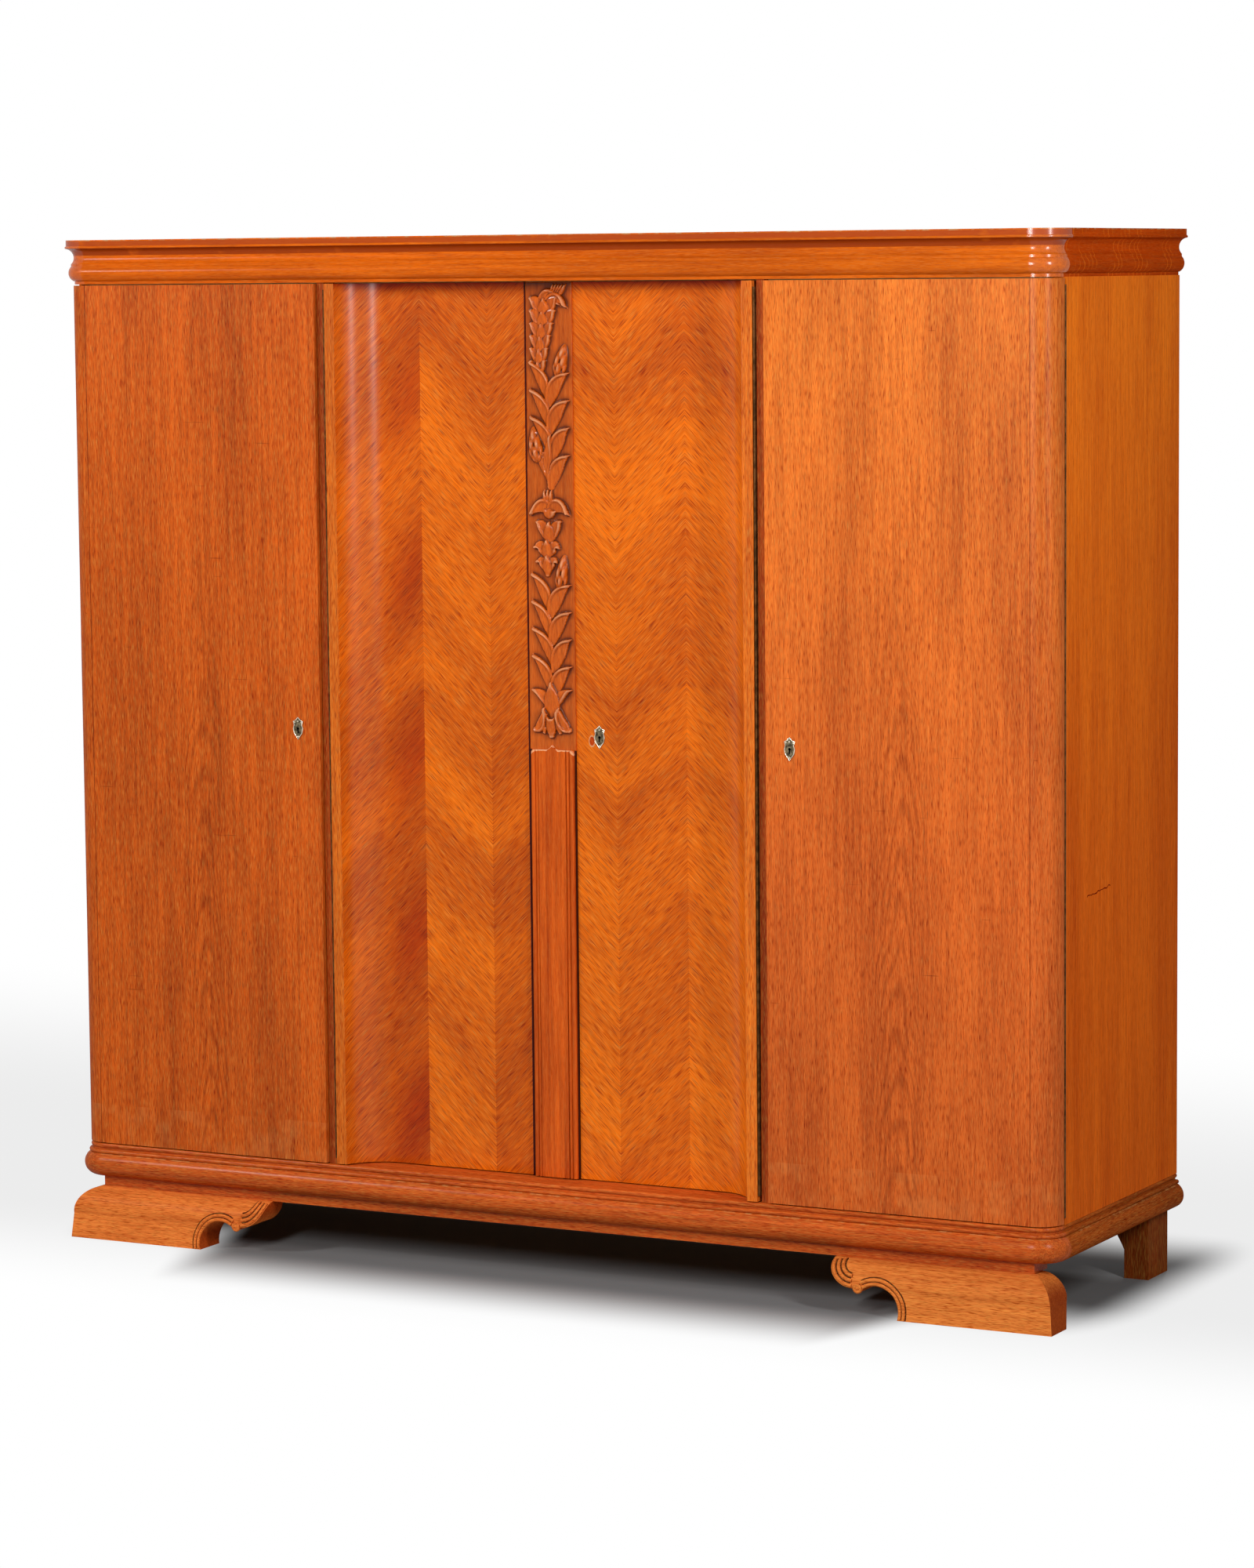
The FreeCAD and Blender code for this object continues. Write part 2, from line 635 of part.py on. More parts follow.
def outer_door(name, side):
    """Flat door that turns the rounded corner of the wardrobe and ends at the hinge on its side."""
    corners = [
        ("outer_edge_x", "face_y"),
        ("corner_x", "face_y", "radius", "corner_radius", -1),
        ("half_width", "corner_y"),
        ("door_inside_x", "corner_y", "radius", "corner_radius - door_thickness", 1),
        ("corner_x", "door_back_y"),
        ("outer_edge_x", "door_back_y"),
    ]
    body = extrude(name, "XY_Plane", mirrored(corners, side), *door_z)
    return keyhole(body, name, f"{side} * outer_key_x")


def bent_panel(name, side, edge_front, edge_back):
    """Bent panel of a centre door, from its lipping through the cove to its free edge."""
    corners = [
        ("arris_x", "face_y", "radius", "cove_radius", -1),
        ("flat_x", "panel_y"),
        (edge_front, "panel_y"),
        (edge_back, "panel_back_y"),
        ("flat_x", "panel_back_y", "radius", "back_radius", 1),
        ("arris_x", "lipping_back_y"),
    ]
    return extrude(name, "XY_Plane", mirrored(corners, side), *door_z)


def lipping(name, side):
    return board(name, span(side, "arris_x", "hang_x"), ("face_y", "lipping_back_y"), door_z)


def meeting_strip():
    """Solid board of the carved strip, with a bevelled free edge."""
    corners = [
        ("-(strip_x)", "strip_y"),
        ("strip_x", "strip_y"),
        ("strip_x", "panel_back_y"),
        ("meeting_bevel - strip_x", "panel_back_y"),
    ]
    return extrude("meeting_strip", "XY_Plane", corners, *door_z)


def pilaster():
    """Raised lower half of the strip: a flat between two beads on each side, under a peaked crest."""
    edge = "pilaster_width / 2"
    bead_side = f"{edge} - outer_bead"
    inner_edge = f"{bead_side} - bead_quirk"
    inner_side = f"{inner_edge} - inner_bead"
    flat_edge = f"{inner_side} - bead_quirk"
    flat_y = "strip_y - pilaster_rise"
    bead_y = f"{flat_y} + bead_swell"
    quirk_y = "strip_y - pilaster_rise / 2"
    round_bead = ("swell", "bead_swell", -1)
    plan = [
        (flat_edge, flat_y),
        (flat_edge, quirk_y),
        (inner_side, quirk_y),
        (inner_side, bead_y, *round_bead),
        (inner_edge, bead_y),
        (inner_edge, quirk_y),
        (bead_side, quirk_y),
        (bead_side, bead_y, *round_bead),
        (edge, bead_y),
        (edge, "strip_y"),
    ]
    shoulder = "door_bottom + pilaster_height"
    peak = f"{shoulder} + crest_height"
    face = [
        (edge, "door_bottom"),
        (edge, f"{shoulder} - crest_drop", "swell", "crest_swell", -1),
        (bead_side, shoulder),
        ("crest_width / 2", shoulder, "swell", "crest_swell", 1),
        ("0", peak, "swell", "crest_swell", 1),
    ]
    shaft = extrude("pilaster_shaft", "XY_Plane", both_sides(plan), "door_bottom", peak)
    crest = extrude("pilaster_crest", "XZ_Plane", both_sides(face), flat_y, "strip_y")
    return boolean("Part::Common", "pilaster", shaft, crest)


# Continuous hinges
def hinge_leaf(name, side, hand, on_side):
    """Leaf of a hinge; hand is 1 on the carcass, with the pin, and -1 on the door, which turns on it."""
    def place(across, along):
        """Across to what carries the leaf and along the leaf, turned into X and Y about the axis."""
        if on_side:
            return (f"{-side} * ({along})", f"{hand} * ({across})")
        return (f"{side * hand} * ({across})", along)

    axis = (f"{side} * centre_axis_x", "centre_axis_y")
    if on_side:
        axis = (f"{side} * half_width", "outer_axis_y")
    outside = "hinge_gap / 2"
    inside = f"{outside} - leaf_thickness"
    round_end = ("radius", "knuckle_radius", side * hand)
    plate = [
        place(outside, "leaf_start"),
        place(outside, "leaf_width"),
        place(inside, "leaf_width"),
        place(inside, "leaf_start"),
    ]
    knuckle = [
        place(outside, "leaf_start"),
        place(outside, "0"),
        (*place("knuckle_radius", "0"), *round_end),
        (*place("0", "-knuckle_radius"), *round_end),
        (*place("-knuckle_radius", "0"), *round_end),
        place(inside, f"sqrt(knuckle_radius^2 - ({inside})^2)"),
        place(inside, "leaf_start"),
    ]
    body = doc.addObject("PartDesign::Body", name + "_leaf")
    pad(body, outline(body, name + "_plate", "XY_Plane", plate, (*axis, "hinge_bottom")), "hinge_length")
    if hand < 0:
        low = "hinge_bottom + end_knuckle + knuckle_gap"
        barrel = outline(body, name + "_knuckle", "XY_Plane", knuckle, (*axis, low), hole="bore_radius")
        pad(body, barrel, "hinge_length - 2 * (end_knuckle + knuckle_gap)")
        return body
    for word, low in (("low", "hinge_bottom"), ("high", "hinge_bottom + hinge_length - end_knuckle")):
        barrel = outline(body, f"{name}_{word}_knuckle", "XY_Plane", knuckle, (*axis, low))
        pad(body, barrel, "end_knuckle")
    return fused(name, [body, rod(name + "_pin", "pin_radius", (*axis, "hinge_bottom"), "hinge_length")])


# Locks
def bolt_z(room):
    return with_room(("lock_z - bolt_height / 2", "lock_z + bolt_height / 2"), room)


def key_plate(name, x, door_y):
    """Key plate with pointed ends and a waist; its corners are shares of its own width and height."""
    half = "plate_width / 2"
    high = "plate_height / 2"
    hollow = ("swell", "plate_hollow", 1)
    right = [
        ("0", f"lock_z - {high}", *hollow),
        (f"0.84 * {half}", f"lock_z - 0.41 * {high}"),
        (half, "lock_z"),
        (f"0.79 * {half}", f"lock_z + 0.31 * {high}"),
        (half, f"lock_z + 0.64 * {high}", *hollow),
        ("0", f"lock_z + {high}", *hollow),
    ]
    body = doc.addObject("PartDesign::Body", name)
    sketch = outline(body, name + "_outline", "XZ_Plane", both_sides(right), (x, "0", f"-({door_y})"))
    pad(body, sketch, "plate_thickness")
    return keyhole(body, name, x)


def lock_case(name, x, y, slot_x, slot_y):
    """Iron case on the back of a door, with a slot for its bolt."""
    case = board(name + "_block", x, y, ("lock_z - case_height / 2", "lock_z + case_height / 2"))
    slot = board(name + "_slot", slot_x, slot_y, bolt_z("bolt_clearance"))
    return boolean("Part::Cut", name, case, slot)


def outer_lock(word, side):
    """Case and bolt of an outer door, drawn back; the bolt shoots into the stile."""
    case_end = "outer_edge_x + case_width"
    bolt_end = f"{case_end} - case_wall - bolt_clearance"
    case_x = span(side, "outer_edge_x", case_end)
    slot_x = span(side, "outer_edge_x", f"{case_end} - case_wall")
    bolt_y = from_("outer_bolt_y", "bolt_depth")
    case_y = from_("door_back_y", "case_depth")
    slot_y = with_room(bolt_y, "bolt_clearance")
    bolt_x = span(side, "outer_edge_x", bolt_end)
    keep(f"lock_case_{word}", lock_case(f"lock_case_{word}", case_x, case_y, slot_x, slot_y))
    keep(f"lock_bolt_{word}", board(f"lock_bolt_{word}", bolt_x, bolt_y, bolt_z("0")))


def centre_lock():
    """Case and long bolt of the right centre door; thrown, the bolt catches behind the left one."""
    case_end = "centre_case_x + case_width"
    slot_x = ("centre_case_x", f"{case_end} - case_wall")
    slot_y = ("panel_back_y", "centre_bolt_y + bolt_depth + bolt_clearance")
    case_x = ("centre_case_x", case_end)
    case_y = from_("panel_back_y", "case_depth")
    bolt_x = ("centre_bolt_tip - strip_x", f"{case_end} - case_wall - bolt_clearance")
    bolt_y = from_("centre_bolt_y", "bolt_depth")
    keep("lock_case_centre", lock_case("lock_case_centre", case_x, case_y, slot_x, slot_y))
    keep("lock_bolt_centre", board("lock_bolt_centre", bolt_x, bolt_y, bolt_z("0")))


# Slide bolts that hold the left centre door at its top and bottom
def slide_bolt_section(room):
    """Low and high X and Y of a slide bolt, with room round it."""
    across = ("-slide_bolt_x - slide_bolt_side / 2", "-slide_bolt_x + slide_bolt_side / 2")
    return with_room(across, room), with_room(from_("slide_bolt_y", "slide_bolt_side"), room)


def slide_bolt(word, low):
    """One bolt, drawn back; returns the guide that carries it."""
    x, y = slide_bolt_section("0")
    bolt_z_ = from_(low, "slide_bolt_length")
    keep(f"slide_bolt_{word}", board(f"slide_bolt_{word}", x, y, bolt_z_))
    guide_x = ("-slide_bolt_x - guide_width / 2", "-slide_bolt_x + guide_width / 2")
    guide_y = ("panel_back_y", "slide_bolt_y + slide_bolt_side + guide_wall")
    guide_z = from_(f"{low} + (slide_bolt_length - guide_height) / 2", "guide_height")
    block = board(f"slide_guide_{word}_block", guide_x, guide_y, guide_z)
    slot = board(f"slide_guide_{word}_slot", *slide_bolt_section("bolt_clearance"), bolt_z_)
    return boolean("Part::Cut", f"slide_guide_{word}", block, slot)


# Inside
SHELF_COUNT = 3
shelf_heights = [f"deck_low + (hat_shelf_z - deck_low) * {index} / {SHELF_COUNT + 1}"
                 for index in range(1, SHELF_COUNT + 1)]
shelf_rows = [(left_bay, "outer_shelf_y", height) for height in shelf_heights]
hat_rows = [
    (left_bay, "outer_shelf_y", "hat_shelf_z"),
    (centre_bay, "centre_shelf_y", "hat_shelf_z"),
    (right_bay, "outer_shelf_y", "hat_shelf_z"),
]


def shelf_group(name, rows):
    shelves = []
    for index, (bay, front, low) in enumerate(rows):
        shelves.append(board(f"{name}_{index}", bay, (front, "inner_back_y"), from_(low, "shelf_thickness")))
    return group(name, shelves)


def battens():
    """Strips on the uprights, under both ends of every shelf."""
    strips = []
    for index, (bay, front, top) in enumerate(shelf_rows + hat_rows):
        low_end = from_(bay[0], "batten_width")
        high_end = (f"{bay[1]} - batten_width", bay[1])
        for word, x in (("low", low_end), ("high", high_end)):
            height = (f"{top} - batten_height", top)
            strips.append(board(f"batten_{word}_{index}", x, (front, "inner_back_y"), height))
    return group("shelf_battens", strips)


def cleat(name, x, y):
    """Block with a round notch, open at the top, that takes one end of a hanging rail."""
    half = "cleat_width / 2"
    seat = "rail_radius + rail_clearance"
    right = [
        ("0", f"rail_z - ({seat})", "radius", seat, -1),
        (seat, "rail_z"),
        (seat, "rail_z + cleat_rise"),
        (half, "rail_z + cleat_rise"),
        (half, "rail_z - cleat_drop"),
    ]
    body = doc.addObject("PartDesign::Body", name)
    pad(body, outline(body, name + "_outline", "YZ_Plane", both_sides(right), (y, "0", x)), "cleat_thickness")
    return body


def hanging_rails():
    """Rails of the centre and right bays, each end in a cleat on the upright."""
    rails = []
    cleats = []
    for index, (bay, front, _) in enumerate(hat_rows[1:]):
        y = f"({front} + inner_back_y) / 2"
        length = f"{bay[1]} - ({bay[0]})"
        rails.append(rod(f"rail_{index}", "rail_radius", (bay[0], y, "rail_z"), length, True))
        for word, x in (("low", bay[0]), ("high", f"{bay[1]} - cleat_thickness")):
            cleats.append(cleat(f"cleat_{word}_{index}", x, y))
    return group("hanging_rails", rails), group("rail_cleats", cleats)


# The sub-parts
keep("carcass_floor", deck("carcass_floor", "plinth_top", "deck_low"))
keep("carcass_top", deck("carcass_top", "deck_high", "cornice_bottom"))
keep("back_panels", back_panels())
keep("cornice_front", moulded_front("cornice_front", CORNICE))
keep("cornice_board", top_board())
keep("plinth_front", moulded_front("plinth_front", PLINTH))
keep("back_rails", back_rails())
keep("apron", apron())
for word, side in SIDES:
    keep(f"side_{word}", side_panel(f"side_{word}", side))
    keep(f"divider_{word}", divider(f"divider_{word}", side))
    keep(f"stile_{word}", stile(f"stile_{word}", side))
    keep(f"cornice_side_{word}", moulded_side(f"cornice_side_{word}", CORNICE, side))
    keep(f"plinth_side_{word}", moulded_side(f"plinth_side_{word}", PLINTH, side))
    keep(f"front_foot_{word}", front_foot(f"front_foot_{word}", side))
    keep(f"rear_foot_{word}", rear_foot(f"rear_foot_{word}", side))
    keep(f"door_{word}", outer_door(f"door_{word}", side))
    keep(f"lipping_{word}", lipping(f"lipping_{word}", side))
    for kind, on_side in (("outer", True), ("centre", False)):
        for holder, hand in (("fixed", 1), ("door", -1)):
            name = f"hinge_{kind}_{word}_{holder}"
            keep(name, hinge_leaf(name, side, hand, on_side))
    keep(f"key_plate_{word}", key_plate(f"key_plate_{word}", f"{side} * outer_key_x", "face_y"))
    outer_lock(word, side)
keep("centre_panel_left", bent_panel("centre_panel_left", -1, "meeting_x", "meeting_x + meeting_bevel"))
keep("centre_panel_right",
     keyhole(bent_panel("centre_panel_right", 1, "strip_x", "strip_x"), "centre_panel_right", "centre_key_x"))
keep("meeting_strip", meeting_strip())
keep("pilaster", pilaster())
keep("key_plate_centre", key_plate("key_plate_centre", "centre_key_x", "panel_y"))
centre_lock()
keep("slide_guides", group("slide_guides", [
    slide_bolt("top", "deck_high - slide_bolt_rest - slide_bolt_length"),
    slide_bolt("bottom", "deck_low + slide_bolt_rest"),
]))
keep("shelves", shelf_group("shelves", shelf_rows))
keep("hat_shelves", shelf_group("hat_shelves", hat_rows))
keep("shelf_battens", battens())
rails, cleats = hanging_rails()
keep("hanging_rails", rails)
keep("rail_cleats", cleats)

# Check every object, then write one file for each sub-part
doc.recompute()
for thing in doc.Objects:
    if {"Invalid", "Error"} & set(thing.State):
        raise RuntimeError(f"{thing.Label} failed: {thing.State}")
for label, piece in pieces.items():
    if piece.Shape.isNull() or not piece.Shape.isValid():
        raise RuntimeError(f"{label} has no valid shape")
for label, piece in pieces.items():
    piece.Shape.exportStep(f"parts/{label}.step")
print(len(pieces), "sub-parts")
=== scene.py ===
# %% [markdown]
# # A four-door oak wardrobe
# The CAD parts give every board its true size and place. This lesson adds what the eye looks for after that:
# the veneers and their grain, the carving, the small hardware, and a studio to see them in.
# First the parts come in as a fixed frame.

# %% Load the frame
import math
from functools import partial

import bmesh
import bpy
import numpy as np
from mathutils import Matrix, Vector


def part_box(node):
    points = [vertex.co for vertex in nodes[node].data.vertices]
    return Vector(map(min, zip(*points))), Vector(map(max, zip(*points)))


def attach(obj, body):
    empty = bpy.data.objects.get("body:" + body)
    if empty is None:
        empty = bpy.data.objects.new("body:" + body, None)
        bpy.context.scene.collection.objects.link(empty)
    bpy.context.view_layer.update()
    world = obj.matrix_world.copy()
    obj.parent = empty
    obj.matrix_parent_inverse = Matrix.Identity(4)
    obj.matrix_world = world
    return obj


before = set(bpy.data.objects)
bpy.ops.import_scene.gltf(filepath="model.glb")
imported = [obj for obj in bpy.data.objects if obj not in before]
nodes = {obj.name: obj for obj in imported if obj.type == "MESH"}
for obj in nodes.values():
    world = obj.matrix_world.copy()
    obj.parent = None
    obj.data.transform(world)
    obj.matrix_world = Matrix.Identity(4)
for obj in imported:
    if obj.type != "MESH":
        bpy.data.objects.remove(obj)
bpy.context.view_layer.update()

MM = 0.001
SIDES = (("left", -1), ("right", 1))

# %% [markdown]
# ## Helpers for node trees
# Materials and Geometry Nodes are built from the same kind of thing: a node with settings, and sockets that
# hold a value or take a link. They could be drawn by hand in the node editor, but a lesson in text can be
# read and repeated. One helper adds any node. Colours are written as sRGB hex, as a colour picker shows
# them, and turned to the linear values that the shaders use.


# %% Nodes and colours
def add(tree, kind, settings=None, inputs=None):
    """Add a node, set its properties, and fill or link its sockets by name or number.

    A word in place of the settings is the operation; a node given as an input links its first output.
    """
    node = tree.nodes.new(kind)
    if isinstance(settings, str):
        settings = {"operation": settings}
    for name, value in (settings or {}).items():
        setattr(node, name, value)
    for key, value in (inputs or {}).items():
        if isinstance(value, bpy.types.Node):
            value = value.outputs[0]
        if isinstance(value, bpy.types.NodeSocket):
            tree.links.new(value, node.inputs[key])
        else:
            node.inputs[key].default_value = value
    return node


def colour(code):
    """Linear RGBA from an sRGB hex code."""
    parts = [int(code[place:place + 2], 16) / 255 for place in (0, 2, 4)]
    linear = [part / 12.92 if part <= 0.04045 else ((part + 0.055) / 1.055) ** 2.4 for part in parts]
    return (*linear, 1.0)


def new_material(name):
    """An empty material and its tree."""
    material = bpy.data.materials.new(name)
    material.use_nodes = True
    material.node_tree.nodes.clear()
    return material, material.node_tree


MIX_RGB = {"data_type": "RGBA", "blend_type": "MIX"}
MULTIPLY_RGB = {"data_type": "RGBA", "blend_type": "MULTIPLY"}
FIRST, SECOND, MIXED = 6, 7, 2
print("hex D06A22 is", [round(part, 3) for part in colour("D06A22")])

# %% [markdown]
# ## Oak
# Oak is ring-porous: each year leaves a row of open pores, which a flat cut shows as short dark dashes that
# all run along the grain. Between them lie paler and darker streaks, and over a whole board the tone
# drifts. Cut fibres gleam in the light; that gleam is painted in as fine pale dashes among the dark ones.
# A photo of oak could be laid on, but it would repeat and its light would be fixed. Here each of these layers
# is a noise stretched along the grain, with its width and length in millimetres. The pores are really about
# 0.3 mm wide; they are drawn at 1.1 mm, because finer ones would not show at this distance.
# The grain runs along Z of the pattern, so a turn of the coordinates lays it along any board.

# %% Grain of oak
ALONG_X = (0, math.radians(-90), 0)
ALONG_Y = (math.radians(90), 0, 0)
ALONG_Z = (0, 0, 0)
PORE = (1.1, 15)
STREAK = (5, 130)


def grain_layer(tree, place, size, detail, shift):
    """Noise of the given width across and length along Z, both in millimetres."""
    across, along = (length * MM for length in size)
    moved = add(tree, "ShaderNodeMapping", {}, {
        "Vector": place, "Scale": (1 / across, 1 / across, 1 / along), "Location": (shift, shift, shift)})
    noise = add(tree, "ShaderNodeTexNoise", {}, {"Vector": moved, "Scale": 1, "Detail": detail})
    return noise.outputs["Fac"]


def oak(name, light, dark, run, bands=(110, 900), figure=1.0, shift=0.0, pores=0.95, gloss=0.5, shine=0.18,
        haze=0.34, uv=False, marks=(), gleam=None, dash=PORE):
    """Lacquered oak: pale and dark wood, open pores, and marks. A mark is a mask, a blend and a colour."""
    material, tree = new_material(name)
    coordinates = add(tree, "ShaderNodeTexCoord")
    place = coordinates.outputs["Object"]
    laid_on = coordinates.outputs["UV"] if uv else place
    turned = add(tree, "ShaderNodeMapping", {}, {"Vector": laid_on, "Rotation": run})
    drift = grain_layer(tree, turned, bands, 2, shift)
    streak = grain_layer(tree, turned, STREAK, 3, shift + 5)
    pore = grain_layer(tree, turned, dash, 1, shift + 9)
    glint = grain_layer(tree, turned, dash, 1, shift + 14)
    middle = 0.5 * figure + 0.5
    sum_of = add(tree, "ShaderNodeMath", "MULTIPLY_ADD", {0: drift, 1: figure, 2: streak})
    tone = add(tree, "ShaderNodeMapRange", {}, {
        "Value": sum_of, "From Min": middle - 0.3, "From Max": middle + 0.3})
    open_pore = add(tree, "ShaderNodeMapRange", {}, {
        "Value": pore, "From Min": 0.5, "From Max": 0.74, "To Max": pores})
    # Painted sheen: pale dashes that stand in for the gleam of cut fibres.
    pale = add(tree, "ShaderNodeMapRange", {}, {
        "Value": glint, "From Min": 0.48, "From Max": 0.78, "To Max": 0.26 * pores})
    layers = [(open_pore, MULTIPLY_RGB, colour("B87A20")), (pale, MIX_RGB, colour("E8B658"))]
    layers += [(mask(tree, place), blend, tint) for mask, blend, tint in marks]
    wood = add(tree, "ShaderNodeMix", MIX_RGB, {0: tone, FIRST: colour(dark), SECOND: colour(light)})
    for amount, blend, tint in layers:
        wood = add(tree, "ShaderNodeMix", blend, {0: amount, FIRST: wood.outputs[MIXED], SECOND: tint})
    dent = add(tree, "ShaderNodeBump", {"invert": True}, {
        "Height": open_pore, "Strength": 0.3, "Distance": 0.4 * MM})
    shader = add(tree, "ShaderNodeBsdfPrincipled", {}, {
        "Base Color": wood.outputs[MIXED], "Roughness": gloss, "Specular IOR Level": 0.0, "Normal": dent,
        "Coat Weight": gleam(tree, place) if gleam else shine, "Coat Roughness": haze})
    add(tree, "ShaderNodeOutputMaterial", {}, {"Surface": shader})
    return material


print("oak grain ready")

# %% [markdown]
# ## Marks of making
# The outer doors end in a solid quarter-round staff, glued on where the corner starts, so the grain changes
# there at a fine dark line. The round corners of the cornice begin at the same place and hold more polish.
# The veneer of the doors is cut flat from the log and shows year rings as nested arches, the ends of the
# cornice show pale wood rays, and the ends of the feet drank more stain.
# All this could be painted on an image. Masks on the object's own coordinates need no image, stay sharp at
# any size, and keep their place when a door opens. A mask may also use the direction of a face, as at the
# ends of the feet, but only on boards that never move. The materials below give every mask its colour.

# %% Staff and corners
corner_x = 897 * MM


def sideways(tree, vector):
    """Size of a vector along X, such as the distance of a place from the wardrobe's middle."""
    x = add(tree, "ShaderNodeSeparateXYZ", {}, {0: vector}).outputs["X"]
    return add(tree, "ShaderNodeMath", "ABSOLUTE", {0: x})


def staff(tree, place):
    """The solid staff at the outer edge of a door."""
    return add(tree, "ShaderNodeMath", "GREATER_THAN", {0: sideways(tree, place), 1: corner_x})


def glue_line(tree, place):
    """A fine line where the staff is glued on."""
    return add(tree, "ShaderNodeMath", "COMPARE", {0: sideways(tree, place), 1: corner_x, 2: 0.5 * MM})


def corner_gleam(tree, place):
    """Coat weight of the cornice: its round corners are thick with polish, its long rail is rubbed."""
    return add(tree, "ShaderNodeMapRange", {}, {
        "Value": sideways(tree, place), "From Min": corner_x, "From Max": corner_x + 2 * MM,
        "To Min": 0.12, "To Max": 0.6})


print("glue lines at", corner_x, "m from the middle")

# %% Rings, rays and end grain
arch_middle_x = 635 * MM
arch_steepness = 190
ring_spacing = 75 * MM
ring_wander = 60 * MM
fleck_spacing = 18 * MM


def cathedral(tree, place):
    """Flat-cut figure: year rings nested like pointed arches, up the middle of each outer door."""
    z = add(tree, "ShaderNodeSeparateXYZ", {}, {0: place}).outputs["Z"]
    wander = grain_layer(tree, place, (80, 240), 2, 4.0)
    aside = add(tree, "ShaderNodeMath", "MULTIPLY_ADD", {
        0: wander, 1: -ring_wander, 2: sideways(tree, place)})
    apart = add(tree, "ShaderNodeMath", "SUBTRACT", {0: aside, 1: arch_middle_x})
    square = add(tree, "ShaderNodeMath", "MULTIPLY", {0: apart, 1: apart})
    ring = add(tree, "ShaderNodeMath", "MULTIPLY_ADD", {0: square, 1: arch_steepness, 2: z})
    wave = add(tree, "ShaderNodeMath", "MULTIPLY", {0: ring, 1: 2 * math.pi / ring_spacing})
    line = add(tree, "ShaderNodeMath", "SINE", {0: wave})
    reach = add(tree, "ShaderNodeMapRange", {}, {
        "Value": square, "From Min": (22 * MM) ** 2, "From Max": (52 * MM) ** 2,
        "To Min": 0.3, "To Max": 0.0})
    low = add(tree, "ShaderNodeMapRange", {}, {
        "Value": z, "From Min": 800 * MM, "From Max": 1300 * MM, "To Min": 1.0, "To Max": 0.25})
    here = add(tree, "ShaderNodeMath", "MULTIPLY", {0: reach, 1: low})
    return add(tree, "ShaderNodeMath", {"operation": "MULTIPLY", "use_clamp": True}, {0: line, 1: here})


def ray_flecks(tree, place):
    """Wavy flecks where the cut follows the wood rays."""
    wave = add(tree, "ShaderNodeTexWave", {"bands_direction": "Y"}, {
        "Vector": place, "Scale": 2 * math.pi / (20 * fleck_spacing), "Distortion": 3.0, "Detail Scale": 2.0})
    patches = add(tree, "ShaderNodeTexNoise", {}, {"Vector": place, "Scale": 1 / (60 * MM), "Detail": 1})
    fleck = add(tree, "ShaderNodeMapRange", {}, {
        "Value": wave.outputs["Fac"], "From Min": 0.84, "From Max": 1.0, "To Max": 0.5})
    some = add(tree, "ShaderNodeMapRange", {}, {"Value": patches, "From Min": 0.48, "From Max": 0.58})
    return add(tree, "ShaderNodeMath", "MULTIPLY", {0: fleck, 1: some})


def end_grain(tree, place):
    """The ends of a board that runs along X."""
    normal = add(tree, "ShaderNodeNewGeometry").outputs["True Normal"]
    return add(tree, "ShaderNodeMapRange", {}, {
        "Value": sideways(tree, normal), "From Min": 0.6, "From Max": 0.95, "To Max": 0.85})


print("year rings", round(ring_spacing / MM), "mm apart")

# %% [markdown]
# ## Marks of wear
# The lacquer is rubbed pale along the groove of the plinth and on the crest of the pilaster, and chipped
# along the top edge of the cornice. The outer doors are scuffed, and faded at the foot, and the right side
# has one old scratch. Such marks could be modelled as dents, but they are too shallow to change a shape, so
# a change of colour is enough. Three of them are a band of heights that noise breaks into patches, so they
# share one function.

# %% Bands of wear
plinth_groove = (148.5 * MM, 151 * MM)
cornice_edge = (1769 * MM, 1772 * MM)


def rubbed_band(tree, place, low, high, amount, patch=14, start=0.48):
    """Patches, of a size in millimetres, in a band of heights."""
    z = add(tree, "ShaderNodeSeparateXYZ", {}, {0: place}).outputs["Z"]
    patches = add(tree, "ShaderNodeTexNoise", {}, {"Vector": place, "Scale": 1 / (patch * MM), "Detail": 3})
    worn = add(tree, "ShaderNodeMapRange", {}, {
        "Value": patches, "From Min": start, "From Max": start + 0.18, "To Max": amount})
    middle = (low + high) / 2
    inside = add(tree, "ShaderNodeMath", "COMPARE", {0: z, 1: middle, 2: high - middle})
    return add(tree, "ShaderNodeMath", "MULTIPLY", {0: worn, 1: inside})


faded_foot = partial(rubbed_band, low=168 * MM, high=240 * MM, amount=0.14, patch=40)
worn_quirk = partial(rubbed_band, low=plinth_groove[0], high=plinth_groove[1], amount=0.6)


def chipped_edge(tree, place):
    """The upright top edge of the cornice, without the faces that point up."""
    normal = add(tree, "ShaderNodeNewGeometry").outputs["True Normal"]
    upward = add(tree, "ShaderNodeSeparateXYZ", {}, {0: normal}).outputs["Z"]
    upright = add(tree, "ShaderNodeMath", "LESS_THAN", {0: upward, 1: 0.7})
    chips = rubbed_band(tree, place, *cornice_edge, 0.9)
    return add(tree, "ShaderNodeMath", "MULTIPLY", {0: chips, 1: upright})


print("worn groove from", *plinth_groove, "m")

# %% Crest, scuffs and scratch
peak_height = 8 * MM
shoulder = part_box("pilaster")[1].z - peak_height
scratch_start = (939 * MM, -118 * MM, 692 * MM)
scratch_length = 100 * MM
scratch_bend = 14 * MM


